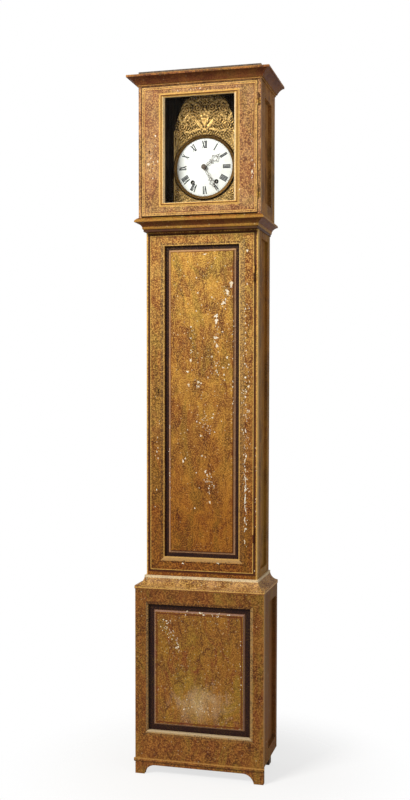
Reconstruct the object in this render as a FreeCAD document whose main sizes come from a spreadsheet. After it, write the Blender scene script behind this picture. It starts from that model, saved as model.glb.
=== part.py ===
import FreeCAD, Part
import math
import os
import types

import Sketcher

# A painted longcase clock of the French provincial kind. X runs across the case, Y from the dial (negative)
# to the wall (positive), Z up from the floor. The origin is on the floor, in the middle of the overall box.

SIZES = {
    # base section
    "base_overhang": 32.0,
    "base_depth": 240.0,
    "base_top_height": 653.0,
    "base_stile": 47.0,
    "base_top_rail": 52.0,
    "base_bottom_rail": 101.0,
    "base_groove": 21.0,
    "base_side_front_stile": 62.0,
    "base_side_rear_stile": 26.0,
    "base_side_rail": 42.0,
    "base_side_recess": 12.0,
    # front apron with its feet, and the bead above them
    "apron_height": 56.0,
    "apron_thickness": 20.0,
    "apron_clearance": 33.0,
    "foot_width": 33.0,
    "foot_curve": 40.0,
    "bead_height": 13.0,
    "bead_projection": 4.0,
    "rear_foot_width": 40.0,
    "rear_foot_depth": 34.0,
    "rear_foot_height": 92.0,
    # boards and frames of the carcass
    "side_thickness": 18.0,
    "frame_thickness": 22.0,
    "panel_thickness": 8.0,
    "panel_setback": 10.0,
    "panel_lap": 7.0,
    "panel_raise": 7.0,
    "panel_bevel": 5.0,
    "back_thickness": 12.0,
    "back_clearance": 33.0,
    # trunk section
    "trunk_width": 394.0,
    "trunk_height": 1281.0,
    "trunk_setback": 34.0,
    "trunk_stile": 12.0,
    "trunk_side_stile": 40.0,
    "trunk_side_rail": 70.0,
    "trunk_side_recess": 9.0,
    "trunk_door_rise": 64.0,
    "trunk_door_drop": 58.0,
    "trunk_door_stile": 51.0,
    "trunk_door_top_rail": 35.5,
    "trunk_door_bottom_rail": 47.0,
    "trunk_groove": 18.0,
    "trunk_keyhole_rise": 626.5,
    # mouldings that wrap round the case
    "base_moulding_height": 44.0,
    "base_moulding_lip": 2.0,
    "base_moulding_fillet": 10.0,
    "base_moulding_step": 6.0,
    "base_moulding_cove_rise": 25.0,
    "throat_height": 46.0,
    "throat_projection": 13.0,
    "throat_top_slope": 11.0,
    "throat_tip": 4.0,
    "throat_lower_inset": 9.0,
    "throat_lower_fillet": 6.0,
    "throat_foot_inset": 13.0,
    # hood section
    "hood_overhang": 16.0,
    "hood_forward": 4.0,
    "hood_height": 477.0,
    "hood_stile": 9.5,
    "hood_side_front_stile": 47.0,
    "hood_side_rear_stile": 62.0,
    "hood_side_top_rail": 78.0,
    "hood_side_bottom_rail": 46.0,
    "hood_side_recess": 12.0,
    "hood_door_gap_below": 4.0,
    "hood_door_drop": 37.0,
    "hood_door_stile": 65.0,
    "hood_door_top_rail": 27.0,
    "hood_door_bottom_rail": 33.0,
    "hood_keyhole_rise": 220.5,
    "glazing_side": 15.5,
    "glazing_top": 10.0,
    "glazing_bottom": 11.0,
    "glazing_proud": 1.5,
    "glazing_bevel": 5.0,
    "glass_thickness": 3.0,
    "cap_thickness": 16.0,
    "cornice_projection": 34.0,
    "cornice_height": 33.0,
    "cornice_lower_fillet": 5.0,
    "cornice_upper_fillet": 7.0,
    "cornice_foot": 4.0,
    # doors: joints, hinges and locks
    "door_gap": 1.5,
    "door_stop_gap": 0.3,
    "hinge_height": 50.0,
    "hood_hinge_height": 34.0,
    "hinge_radius": 3.6,
    "hinge_standoff": 4.2,
    "hinge_pin_radius": 1.5,
    "hinge_wing": 6.0,
    "hinge_wing_thickness": 1.2,
    "hinge_finial_height": 4.0,
    "hinge_split": 0.3,
    "trunk_upper_hinge_drop": 136.0,
    "trunk_lower_hinge_rise": 135.0,
    "hood_upper_hinge_drop": 62.0,
    "hood_lower_hinge_rise": 67.0,
    "lock_length": 52.0,
    "lock_height": 60.0,
    "lock_depth": 13.0,
    "lock_inset": 3.0,
    "bolt_length": 34.0,
    "bolt_height": 12.0,
    "bolt_thickness": 5.0,
    "bolt_throw": 8.0,
    "bolt_clearance": 0.3,
    "keyhole_inset": 29.0,
    "hood_keyhole_inset": 27.0,
    "keyhole_radius": 2.6,
    "keyhole_slot": 9.0,
    "keyhole_slot_width": 2.6,
    # seat board
    "seat_thickness": 18.0,
    "seat_side_gap": 2.0,
    "seat_front_gap": 5.0,
    "seat_back_gap": 18.0,
    "line_slot_width": 16.0,
    # dial group
    "dial_rise": 177.0,
    "dial_depth": 82.0,
    "enamel_radius": 101.0,
    "enamel_thickness": 2.0,
    "enamel_dome": 5.0,
    "dial_centre_hole": 6.5,
    "winding_hole": 5.5,
    "bezel_width": 11.0,
    "bezel_height": 8.0,
    "bezel_lap": 2.5,
    "bezel_face": 4.0,
    "surround_thickness": 1.6,
    "surround_foot": 10.0,
    "crest_headroom": 49.0,
    "surround_flank_radius": 140.0,
    "surround_rim": 5.0,
    "surround_relief": 5.0,
    "boss_radius": 15.0,
    "scroll_radius": 12.0,
    "scroll_spacing": 44.0,
    # hands
    "minute_hand_length": 95.0,
    "hour_hand_length": 69.0,
    "hand_thickness": 1.2,
    "hand_hub": 8.0,
    "hand_ring": 9.0,
    "hour_hand_ring": 10.0,
    "hand_ring_wall": 2.2,
    "hand_stem": 4.2,
    "hand_tip": 1.0,
    "hand_tail": 16.0,
    "minute_angle": 151.5,
    "hour_angle": 53.0,
    "minute_hand_rise": 17.0,
    "hour_hand_rise": 11.0,
    # movement cage, on the seat board
    "cage_overhang": 1.0,
    "cage_setback": 18.0,
    "cage_back_gap": 18.4,
    "cage_headroom": 15.0,
    "cage_plate": 4.0,
    "cage_post": 8.0,
    "bar_thickness": 4.0,
    "bar_width": 14.0,
    "pivot_radius": 1.0,
    "arbor_radius": 2.0,
    "centre_arbor_radius": 2.5,
    "barrel_arbor_radius": 4.0,
    "winding_square": 5.0,
    "pivot_clearance": 0.05,
    "dial_post": 6.0,
    # going train
    "drum_radius": 18.0,
    "drum_flange_radius": 23.0,
    "drum_flange": 2.0,
    "wheel_thickness": 2.5,
    "pinion_length": 8.0,
    "train_module": 0.9,
    "third_arbor_angle": 60.0,
    "escape_wheel_radius": 22.0,
    "wheel_rim": 5.0,
    "wheel_hub": 6.0,
    "wheel_arm": 3.5,
    # motion work behind the dial
    "motion_spacing": 24.0,
    "cannon_radius": 3.6,
    "hour_pipe_radius": 4.8,
    "motion_station": 3.0,
    "motion_wheel_thickness": 1.8,
    "motion_stud_radius": 1.5,
    # pallets, pendulum and its cock
    "pallet_lift_gap": 1.5,
    "pallet_thickness": 4.0,
    "pallet_width": 5.0,
    "crutch_length": 64.0,
    "crutch_width": 6.0,
    "pendulum_length": 994.0,
    "pendulum_behind_cage": 10.0,
    "pendulum_rod_width": 7.0,
    "pendulum_rod_thickness": 2.5,
    "pendulum_tail": 85.0,
    "bob_radius": 62.0,
    "bob_half_thickness": 7.0,
    "bob_edge": 2.0,
    "rating_nut_radius": 7.0,
    "rating_nut_height": 8.0,
    "pendulum_eye_radius": 6.0,
    "cock_thickness": 4.0,
    # striking train
    "second_arbor_angle": 106.0,
    "fly_arbor_angle": 90.0,
    "fly_span": 20.0,
    "fly_thickness": 1.2,
    "hammer_inset": 10.0,
    "hammer_arbor_radius": 3.0,
    "hammer_reach_x": 33.0,
    "hammer_reach_y": 15.0,
    "hammer_head_radius": 8.0,
    "hammer_head_height": 16.0,
    "hammer_rise": 26.0,
    "hammer_tail": 20.0,
    "bell_radius": 52.0,
    "bell_height": 30.0,
    "bell_wall": 2.5,
    "bell_rise": 16.0,
    "bell_post_radius": 4.0,
    # weights and lines
    "weight_radius": 40.0,
    "weight_height": 118.0,
    "weight_neck": 8.0,
    "weight_eye_height": 14.0,
    "weight_rest_height": 260.0,
    "line_radius": 1.0,
    "seat_gap": 0.3,
    "overrun": 5.0,
}

TEETH = {
    "great": 84,
    "centre_pinion": 7,
    "centre": 60,
    "train_pinion": 8,
    "third": 64,
    "escape": 30,
    "cannon": 12,
    "motion": 36,
    "motion_pinion": 10,
    "hour": 40,
    "second": 60,
}

SHARES = {
    # tooth form, by the module, from the pitch circle
    "wheel_tip_share": 0.9,
    "wheel_root_share": 1.3,
    "pinion_tip_share": 0.6,
    "pinion_root_share": 1.45,
    "third_module_share": 0.8889,
    # an escape tooth's foot, before and after its point, by the step between two teeth
    "escape_lean_share": 0.45,
    "escape_heel_share": 0.05,
    "pallet_span_share": 0.8636,
    "pallet_drop_share": 1.2,
    # stations along the movement, from the front bars, by the depth of the cage
    "great_wheel_station_share": 0.0446,
    "drum_station_share": 0.125,
    "drum_length_share": 0.5714,
    "centre_wheel_station_share": 0.1607,
    "third_wheel_station_share": 0.3571,
    "escape_wheel_station_share": 0.6964,
    "second_wheel_station_share": 0.4643,
    "strike_great_station_share": 0.7857,
    "fly_station_share": 0.1786,
    "fly_width_share": 0.2321,
    "hammer_station_share": 0.5,
    # dial, by its radius
    "winding_spacing_share": 0.4158416,
    "winding_drop_share": 0.4950495,
    # the pressed plate's outline, by its half width and by its height over the dial's centre
    "arch_half_share": 0.75,
    "shoulder_share": 0.498,
    "arch_start_share": 0.8486,
    "crest_rise_share": 0.5324,
    # hands: where the ring sits along the hand, how far it covers the stem, and how the stem narrows
    "minute_ring_share": 0.7,
    "hour_ring_share": 0.66,
    "ring_cover_share": 0.8,
    "stem_beyond_share": 0.9,
    "hour_tail_share": 0.6,
    # radii of the mouldings' curves, by the two spans that each one crosses
    "base_cove_share": 0.612,
    "throat_step_share": 0.9,
    "throat_hollow_share": 0.773,
    "throat_nose_share": 1.0833,
    "cornice_cove_share": 0.87,
    "bead_round_share": 0.9,
    "hinge_button_share": 0.7,
    # the bell's shoulder, by its radius and height
    "bell_shoulder_share": 0.84,
    "bell_shoulder_rise_share": 0.55,
    "bell_crown_share": 0.45,
}

doc = FreeCAD.newDocument("LongcaseClock")
sheet = doc.addObject("Spreadsheet::Sheet", "Sizes")
for row, (name, value) in enumerate({**SIZES, **SHARES}.items(), start=1):
    sheet.set("A%d" % row, name)
    sheet.set("B%d" % row, str(value))
    sheet.setAlias("B%d" % row, name)
doc.recompute()


class Measure:
    """A length that knows its number and the formula that ties it to the sheet."""

    def __init__(self, number, formula):
        self.number = number
        self.formula = formula

    def __float__(self):
        return self.number

    def __neg__(self):
        return Measure(-self.number, "(0 - %s)" % self.formula)

    def __add__(self, other):
        other = measure(other)
        return Measure(self.number + other.number, "(%s + %s)" % (self.formula, other.formula))

    def __sub__(self, other):
        other = measure(other)
        return Measure(self.number - other.number, "(%s - %s)" % (self.formula, other.formula))

    def __mul__(self, other):
        other = measure(other)
        return Measure(self.number * other.number, "(%s * %s)" % (self.formula, other.formula))

    def __truediv__(self, other):
        other = measure(other)
        return Measure(self.number / other.number, "(%s / %s)" % (self.formula, other.formula))

    def __radd__(self, other):
        return measure(other) + self

    def __rsub__(self, other):
        return measure(other) - self

    def __rmul__(self, other):
        return measure(other) * self


def same(first, second):
    return math.isclose(first, second, abs_tol=Part.Precision.approximation())


def measure(value):
    """The value as a Measure, for plain numbers such as 0 or 2 in a formula."""
    if isinstance(value, Measure):
        return value
    return Measure(float(value), repr(float(value)))


size = types.SimpleNamespace(**{name: Measure(value, "Sizes." + name)
                                for name, value in {**SIZES, **SHARES}.items()})
ZERO = measure(0)

# Places that several pieces share.
place = types.SimpleNamespace()
place.back = (size.base_depth + size.hood_forward + size.cornice_projection) / 2
place.base_front = place.back - size.base_depth
place.trunk_front = place.base_front + size.trunk_setback
place.hood_front = place.base_front - size.hood_forward
place.back_board = place.back - size.back_thickness
place.trunk_half = size.trunk_width / 2
place.base_half = place.trunk_half + size.base_overhang
place.hood_half = place.trunk_half + size.hood_overhang
place.trunk_inside = place.trunk_half - size.side_thickness
place.hood_inside = place.hood_half - size.side_thickness
place.hood_bottom = size.base_top_height + size.trunk_height
place.hood_top = place.hood_bottom + size.hood_height
place.trunk_door_bottom = size.base_top_height + size.trunk_door_rise
place.trunk_door_top = place.hood_bottom - size.trunk_door_drop
place.hood_door_bottom = place.hood_bottom + size.hood_door_gap_below
place.hood_door_top = place.hood_top - size.hood_door_drop
place.trunk_keyhole = place.trunk_door_bottom + size.trunk_keyhole_rise
place.hood_keyhole = place.hood_door_bottom + size.hood_keyhole_rise
place.seat_top = place.hood_bottom + size.seat_thickness
place.enamel_back = place.hood_front + size.dial_depth
place.surround_back = place.enamel_back + size.surround_thickness
place.dial = place.hood_bottom + size.dial_rise
place.bezel_radius = size.enamel_radius + size.bezel_width
place.surround_drop = place.bezel_radius + size.surround_foot
place.surround_top = size.hood_height - size.dial_rise - size.crest_headroom
place.shoulder = place.surround_top * size.shoulder_share
place.crest = place.bezel_radius + (place.surround_top - place.bezel_radius) * size.crest_rise_share
place.winding_spacing = size.enamel_radius * size.winding_spacing_share
place.winding_drop = size.enamel_radius * size.winding_drop_share
place.cage_half = place.bezel_radius + size.cage_overhang
place.cage_front = place.surround_back + size.cage_setback
place.cage_back = place.back_board - size.cage_back_gap
place.cage_depth = place.cage_back - place.cage_front
place.bars_inside = place.cage_front + size.bar_thickness
place.drum_front = place.bars_inside + place.cage_depth * size.drum_station_share
place.drum_length = place.cage_depth * size.drum_length_share
place.drum_middle = place.drum_front + place.drum_length / 2
place.pendulum = place.cage_back + size.pendulum_behind_cage

# Small bars and their bores are filed with eight flats; a flat lies nearer the axis than a corner does.
FLATS = 8
FLAT_INSET = math.cos(math.pi / FLATS)

# Turns from a piece's own drawing plane: its face looks out along its own Z.
FACING = {
    "front": FreeCAD.Rotation(FreeCAD.Vector(1, 0, 0), FreeCAD.Vector(0, 0, 1), FreeCAD.Vector(0, -1, 0), "ZXY"),
    "right": FreeCAD.Rotation(FreeCAD.Vector(0, 1, 0), FreeCAD.Vector(0, 0, 1), FreeCAD.Vector(1, 0, 0), "ZXY"),
    "left": FreeCAD.Rotation(FreeCAD.Vector(0, -1, 0), FreeCAD.Vector(0, 0, 1), FreeCAD.Vector(-1, 0, 0), "ZXY"),
    "up": FreeCAD.Rotation(),
}

sub_parts = []


def keep(piece, label):
    """Name a finished sub-part and list it for the hand-over."""
    piece.Label = label
    sub_parts.append(piece)
    return piece


def bind(piece, **formulas):
    for name, value in formulas.items():
        piece.setExpression(name, measure(value).formula)


def put(piece, across, deep, up, facing="up"):
    """Place a piece by bound coordinates, turned to face one of the four ways."""
    piece.Placement = FreeCAD.Placement(FreeCAD.Vector(), FACING[facing])
    for axis, value in zip("xyz", (across, deep, up)):
        piece.setExpression("Placement.Base." + axis, measure(value).formula)
    return piece


def box(label, low, high):
    """A board given by its two opposite corners."""
    piece = doc.addObject("Part::Box", label)
    span = [measure(b) - measure(a) for a, b in zip(low, high)]
    bind(piece, Length=span[0], Width=span[1], Height=span[2])
    return put(piece, *low)


def cylinder(label, radius, height, across, deep, up, facing="up"):
    piece = doc.addObject("Part::Cylinder", label)
    bind(piece, Radius=radius, Height=height)
    return put(piece, across, deep, up, facing)


def group(label, pieces):
    """Several separate solids kept as one sub-part."""
    piece = doc.addObject("Part::Compound", label)
    piece.Links = pieces
    return piece


def fused(label, pieces):
    piece = doc.addObject("Part::MultiFuse", label)
    piece.Shapes = pieces
    return piece


def cut(label, base, tool):
    piece = doc.addObject("Part::Cut", label)
    piece.Base = base
    piece.Tool = tool
    return piece


def common(label, base, tool):
    """What two forms share."""
    piece = doc.addObject("Part::Common", label)
    piece.Base = base
    piece.Tool = tool
    return piece


def arc_between(first, last, radius):
    """The shorter arc of a radius between two points; a negative radius bulges to the other side.

    Returns the arc, drawn anticlockwise, and whether it sets out from the first point."""
    chord = last - first
    side = FreeCAD.Vector(-chord.y, chord.x, 0).normalize()
    reach = abs(radius)
    depth = math.sqrt(max(reach ** 2 - (chord.Length / 2) ** 2, 0))
    centre = (first + last) / 2 + side * math.copysign(depth, radius)
    forward = radius > 0
    start, end = (first, last) if forward else (last, first)
    low = math.atan2(start.y - centre.y, start.x - centre.x)
    high = math.atan2(end.y - centre.y, end.x - centre.x)
    if high < low:
        high += 2 * math.pi
    circle = Part.Circle(centre, FreeCAD.Vector(0, 0, 1), reach)
    return Part.ArcOfCircle(circle, low, high), forward


def draw_loop(sketch, points):
    """Draw a closed outline whose corners are (across, up) or (across, up, radius of the arc that arrives)."""
    corners = [FreeCAD.Vector(float(point[0]), float(point[1]), 0) for point in points]
    ends = []
    for index, point in enumerate(points):
        first = corners[index - 1]
        last = corners[index]
        if len(point) == 3:
            arc, forward = arc_between(first, last, float(point[2]))
            edge = sketch.addGeometry(arc, False)
            ends.append((edge, 1, 2) if forward else (edge, 2, 1))
        else:
            edge = sketch.addGeometry(Part.LineSegment(first, last), False)
            ends.append((edge, 1, 2))
    for index, point in enumerate(points):
        edge, _, end = ends[index]
        following, start, _ = ends[(index + 1) % len(points)]
        sketch.addConstraint(Sketcher.Constraint("Coincident", edge, end, following, start))
        for kind, value in zip(("DistanceX", "DistanceY"), point):
            rule = sketch.addConstraint(Sketcher.Constraint(kind, -1, 1, edge, end, float(value)))
            sketch.setExpression("Constraints[%d]" % rule, measure(value).formula)
        if len(point) == 3:
            reach = abs(float(point[2]))
            rule = sketch.addConstraint(Sketcher.Constraint("Radius", edge, reach))
            positive = measure(point[2]) if float(point[2]) > 0 else -measure(point[2])
            sketch.setExpression("Constraints[%d]" % rule, positive.formula)


def draw_circle(sketch, across, up, radius):
    centre = FreeCAD.Vector(float(across), float(up), 0)
    edge = sketch.addGeometry(Part.Circle(centre, FreeCAD.Vector(0, 0, 1), float(radius)), False)
    for kind, value in zip(("DistanceX", "DistanceY"), (across, up)):
        rule = sketch.addConstraint(Sketcher.Constraint(kind, -1, 1, edge, 3, float(value)))
        sketch.setExpression("Constraints[%d]" % rule, measure(value).formula)
    rule = sketch.addConstraint(Sketcher.Constraint("Radius", edge, float(radius)))
    sketch.setExpression("Constraints[%d]" % rule, measure(radius).formula)


def new_sketch(body, name, plane="XY_Plane", lift=None):
    sketch = body.newObject("Sketcher::SketchObject", name)
    for feature in body.Origin.OriginFeatures:
        if feature.Role == plane:
            sketch.AttachmentSupport = [(feature, "")]
    sketch.MapMode = "FlatFace"
    if lift is not None:
        sketch.setExpression("AttachmentOffset.Base.z", measure(lift).formula)
    return sketch


def rectangle(left, low, right, high):
    return [(left, low), (right, low), (right, high), (left, high)]


def plate(label, loops, thickness, circles=()):
    """A flat board drawn by its outline and any openings, and padded to its thickness."""
    body = doc.addObject("PartDesign::Body", label)
    sketch = new_sketch(body, label + "_outline")
    for loop in loops:
        draw_loop(sketch, loop)
    for circle in circles:
        draw_circle(sketch, *circle)
    pad = body.newObject("PartDesign::Pad", label + "_pad")
    pad.Profile = sketch
    bind(pad, Length=thickness)
    sketch.Visibility = False
    return body, pad


def add_pocket(body, label, loop, depth, lift=None, into=1):
    """Cut a pocket; into is 1 for a cut towards the face, -1 for a cut towards the back."""
    sketch = new_sketch(body, label + "_outline", lift=lift)
    draw_loop(sketch, loop)
    pocket = body.newObject("PartDesign::Pocket", label)
    pocket.Profile = sketch
    bind(pocket, Length=depth)
    pocket.Reversed = into > 0
    return pocket


def frame(label, outline, window, thickness, rebate_lap, rebate_depth):
    """Stiles and rails round a window, with a rebate in the back that takes the panel."""
    body, _ = plate(label, [rectangle(*outline), rectangle(*window)], thickness)
    left, low, right, high = window
    rebate = rectangle(left - rebate_lap, low - rebate_lap, right + rebate_lap, high + rebate_lap)
    add_pocket(body, label + "_rebate", rebate, rebate_depth)
    return body


def raised_panel(label, window, groove):
    """A panel whose tongue sits in the frame's rebate and whose field is raised inside a sunk border."""
    left, low, right, high = window
    lap = size.panel_lap
    body, _ = plate(label, [rectangle(left - lap, low - lap, right + lap, high + lap)], size.panel_thickness)
    field = new_sketch(body, label + "_field_outline", lift=size.panel_thickness)
    draw_loop(field, rectangle(left + groove, low + groove, right - groove, high - groove))
    raised = body.newObject("PartDesign::Pad", label + "_field")
    raised.Profile = field
    bind(raised, Length=size.panel_raise)
    doc.recompute()
    top = float(size.panel_thickness) + float(size.panel_raise)
    edges = []
    for number, edge in enumerate(raised.Shape.Edges, start=1):
        if all(same(vertex.Z, top) for vertex in edge.Vertexes):
            edges.append("Edge%d" % number)
    bevel = body.newObject("PartDesign::Chamfer", label + "_bevel")
    bevel.Base = (raised, edges)
    bind(bevel, Size=size.panel_bevel)
    return body


def wrapped_moulding(label, half_width, front, bottom, profile, core=None):
    """A moulding carried round the front and both sides, mitred at the two front corners.

    The profile's points are (distance out from the case, height, arc radius), from the bottom of the moulding."""
    body = doc.addObject("PartDesign::Body", label)
    path = new_sketch(body, label + "_path")
    corners = [(-half_width, place.back), (-half_width, front), (half_width, front), (half_width, place.back)]
    lines = []
    for first, last in zip(corners, corners[1:]):
        a, b = (FreeCAD.Vector(float(point[0]), float(point[1]), 0) for point in (first, last))
        lines.append(path.addGeometry(Part.LineSegment(a, b), False))
    for index, point in enumerate(corners):
        line, end = (lines[index], 1) if index < len(lines) else (lines[-1], 2)
        for kind, value in zip(("DistanceX", "DistanceY"), point):
            rule = path.addConstraint(Sketcher.Constraint(kind, -1, 1, line, end, float(value)))
            path.setExpression("Constraints[%d]" % rule, measure(value).formula)
    for first, last in zip(lines, lines[1:]):
        path.addConstraint(Sketcher.Constraint("Coincident", first, 2, last, 1))
    section = new_sketch(body, label + "_section", plane="XZ_Plane", lift=-place.back)
    drawn = []
    for point in profile:
        arc = (-point[2],) if len(point) == 3 else ()
        drawn.append((-half_width - point[0], point[1]) + arc)
    draw_loop(section, drawn)
    sweep = body.newObject("PartDesign::AdditivePipe", label + "_sweep")
    sweep.Profile = section
    sweep.Spine = (path, ["Edge%d" % (line + 1) for line in lines])
    sweep.Transition = "Right corner"
    put(body, ZERO, ZERO, bottom)
    if core is None:
        return body
    return cut(label + "_fitted", body, core)


# Base section: apron with feet, front frame and panel, sides.
def build_apron():
    half = place.base_half
    inner = half - size.foot_width
    curve = inner - size.foot_curve
    outline = [
        (-half, ZERO),
        (-inner, ZERO),
        (-curve, size.apron_clearance, -size.foot_curve),
        (curve, size.apron_clearance),
        (inner, ZERO, -size.foot_curve),
        (half, ZERO),
        (half, size.apron_height),
        (-half, size.apron_height),
    ]
    board, _ = plate("apron_board", [outline], size.apron_thickness)
    put(board, ZERO, place.base_front + size.apron_thickness, ZERO, "front")
    bead_low = size.apron_height - size.bead_height
    bead = box("apron_bead",
               (-half - size.bead_projection, place.base_front - size.bead_projection, bead_low),
               (half + size.bead_projection, place.base_front, size.apron_height))
    rounded = doc.addObject("Part::Fillet", "apron_bead_rounded")
    rounded.Base = bead
    doc.recompute()
    nose = size.bead_projection * size.bead_round_share
    front = float(place.base_front - size.bead_projection)
    edges = []
    for number, edge in enumerate(bead.Shape.Edges, start=1):
        ends = edge.Vertexes
        if same(ends[0].Z, ends[1].Z) and all(same(vertex.Y, front) for vertex in ends):
            edges.append((number, float(nose), float(nose)))
    rounded.Edges = edges
    keep(group("apron_group", [board, rounded]), "apron_with_feet")


def build_rear_feet():
    high = place.back_board
    low = high - size.rear_foot_depth
    feet = []
    inside = place.base_half - size.side_thickness
    for side in (-1, 1):
        outer = side * inside
        inner = side * (inside - size.rear_foot_width)
        left, right = (outer, inner) if side < 0 else (inner, outer)
        feet.append(box("rear_foot", (left, low, ZERO), (right, high, size.rear_foot_height)))
    keep(group("rear_feet_pair", feet), "rear_feet")


def build_base_front():
    half = place.base_half
    outline = (-half, size.apron_height, half, size.base_top_height)
    window = (-half + size.base_stile, size.apron_height + size.base_bottom_rail,
              half - size.base_stile, size.base_top_height - size.base_top_rail)
    rebate_depth = size.frame_thickness - size.panel_setback
    body = frame("base_frame_body", outline, window, size.frame_thickness, size.panel_lap, rebate_depth)
    put(body, ZERO, place.base_front + size.frame_thickness, ZERO, "front")
    keep(body, "base_front_frame")
    panel = raised_panel("base_panel_body", window, size.base_groove)
    put(panel, ZERO, place.base_front + size.panel_setback + size.panel_thickness, ZERO, "front")
    keep(panel, "base_front_panel")


def side_pair(section, half, front, low, high, stiles, rails, recess, mortise=None):
    """The two side frames of a section and the two panels that sit in their rebates."""
    frames = []
    panels = []
    length = place.back - front
    for facing in ("left", "right"):
        side = 1 if facing == "right" else -1
        near, far = stiles
        spans = (ZERO, low, length, high)
        window = (near, low + rails[0], length - far, high - rails[1])
        if side < 0:
            spans = (-length, low, ZERO, high)
            window = (-length + far, low + rails[0], -near, high - rails[1])
        depth = size.side_thickness - recess
        body = frame("%s_side_%s" % (section, facing), spans, window, size.side_thickness, size.panel_lap, depth)
        put(body, side * (half - size.side_thickness), front, ZERO, facing)
        if mortise is not None and side < 0:
            body = cut("%s_side_mortised" % section, body, mortise)
        frames.append(body)
        left, bottom, right, top = window
        lap = size.panel_lap
        board, _ = plate("%s_side_panel_%s" % (section, facing),
                         [rectangle(left - lap, bottom - lap, right + lap, top + lap)], depth)
        put(board, side * (half - size.side_thickness), front, ZERO, facing)
        panels.append(board)
    keep(group(section + "_side_frame_pair", frames), section + "_side_frames")
    keep(group(section + "_side_panel_pair", panels), section + "_side_panels")


def door_back(front):
    """Where a closed door's back is, a little clear of the side boards it closes against."""
    return front + size.frame_thickness - size.door_stop_gap


def bolt_mortise(label, front, half_inside, height):
    """The slot in the left side board that the lock's bolt shoots into."""
    low_y = door_back(front) + (size.lock_depth - size.bolt_thickness) / 2 - size.bolt_clearance
    high_y = low_y + size.bolt_thickness + size.bolt_clearance * 2
    reach = size.bolt_throw + size.bolt_clearance * 2
    return box(label, (-half_inside - reach, low_y, height - size.bolt_height / 2 - size.bolt_clearance),
               (-half_inside + size.overrun, high_y, height + size.bolt_height / 2 + size.bolt_clearance))


def build_carcass():
    build_apron()
    build_rear_feet()
    build_base_front()
    side_pair("base", place.base_half, place.base_front + size.frame_thickness, size.apron_height,
              size.base_top_height, (size.base_side_front_stile, size.base_side_rear_stile),
              (size.base_side_rail, size.base_side_rail), size.base_side_recess)
    trunk_back = place.trunk_front + size.frame_thickness
    mortise = bolt_mortise("trunk_mortise", place.trunk_front, place.trunk_inside, place.trunk_keyhole)
    side_pair("trunk", place.trunk_half, trunk_back, size.base_top_height, place.hood_bottom,
              (size.trunk_side_stile, size.trunk_side_stile), (size.trunk_side_rail, size.trunk_side_rail),
              size.trunk_side_recess, mortise)
    hood_back = place.hood_front + size.frame_thickness
    mortise = bolt_mortise("hood_mortise", place.hood_front, place.hood_inside, place.hood_keyhole)
    side_pair("hood", place.hood_half, hood_back, place.hood_bottom, place.hood_top,
              (size.hood_side_front_stile, size.hood_side_rear_stile),
              (size.hood_side_bottom_rail, size.hood_side_top_rail), size.hood_side_recess, mortise)


def trunk_door_box():
    half = place.trunk_half - size.trunk_stile - size.door_gap
    return (-half, place.trunk_door_bottom, half, place.trunk_door_top)


def hood_door_box():
    half = place.hood_half - size.hood_stile - size.door_gap
    return (-half, place.hood_door_bottom, half, place.hood_door_top)


def build_face_frames():
    half = place.trunk_half
    left, low, right, high = trunk_door_box()
    gap = size.door_gap
    opening = rectangle(left - gap, low - gap, right + gap, high + gap)
    outline = rectangle(-half, size.base_top_height, half, place.hood_bottom)
    body, _ = plate("trunk_face", [outline, opening], size.frame_thickness)
    put(body, ZERO, place.trunk_front + size.frame_thickness, ZERO, "front")
    keep(body, "trunk_face_frame")
    half = place.hood_half
    left, low, right, high = hood_door_box()
    outline = [
        (-half, place.hood_bottom),
        (left - gap, place.hood_bottom),
        (left - gap, high + gap),
        (right + gap, high + gap),
        (right + gap, place.hood_bottom),
        (half, place.hood_bottom),
        (half, place.hood_top),
        (-half, place.hood_top),
    ]
    body, _ = plate("hood_face", [outline], size.frame_thickness)
    put(body, ZERO, place.hood_front + size.frame_thickness, ZERO, "front")
    keep(body, "hood_face_frame")


def build_back_board():
    base_in = place.base_half - size.side_thickness
    outline = [
        (-base_in, size.back_clearance),
        (base_in, size.back_clearance),
        (base_in, size.base_top_height),
        (place.trunk_inside, size.base_top_height),
        (place.trunk_inside, place.hood_bottom),
        (place.hood_inside, place.hood_bottom),
        (place.hood_inside, place.hood_top),
        (-place.hood_inside, place.hood_top),
        (-place.hood_inside, place.hood_bottom),
        (-place.trunk_inside, place.hood_bottom),
        (-place.trunk_inside, size.base_top_height),
        (-base_in, size.base_top_height),
    ]
    body, _ = plate("back_boards", [outline], size.back_thickness)
    put(body, ZERO, place.back, ZERO, "front")
    keep(body, "back_board")


def trunk_room(label):
    """The space the trunk takes up, which the mouldings round it leave free."""
    return box(label, (-place.trunk_half, place.trunk_front, size.base_top_height - size.overrun),
               (place.trunk_half, place.back + size.overrun, place.hood_bottom + size.overrun))


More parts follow.
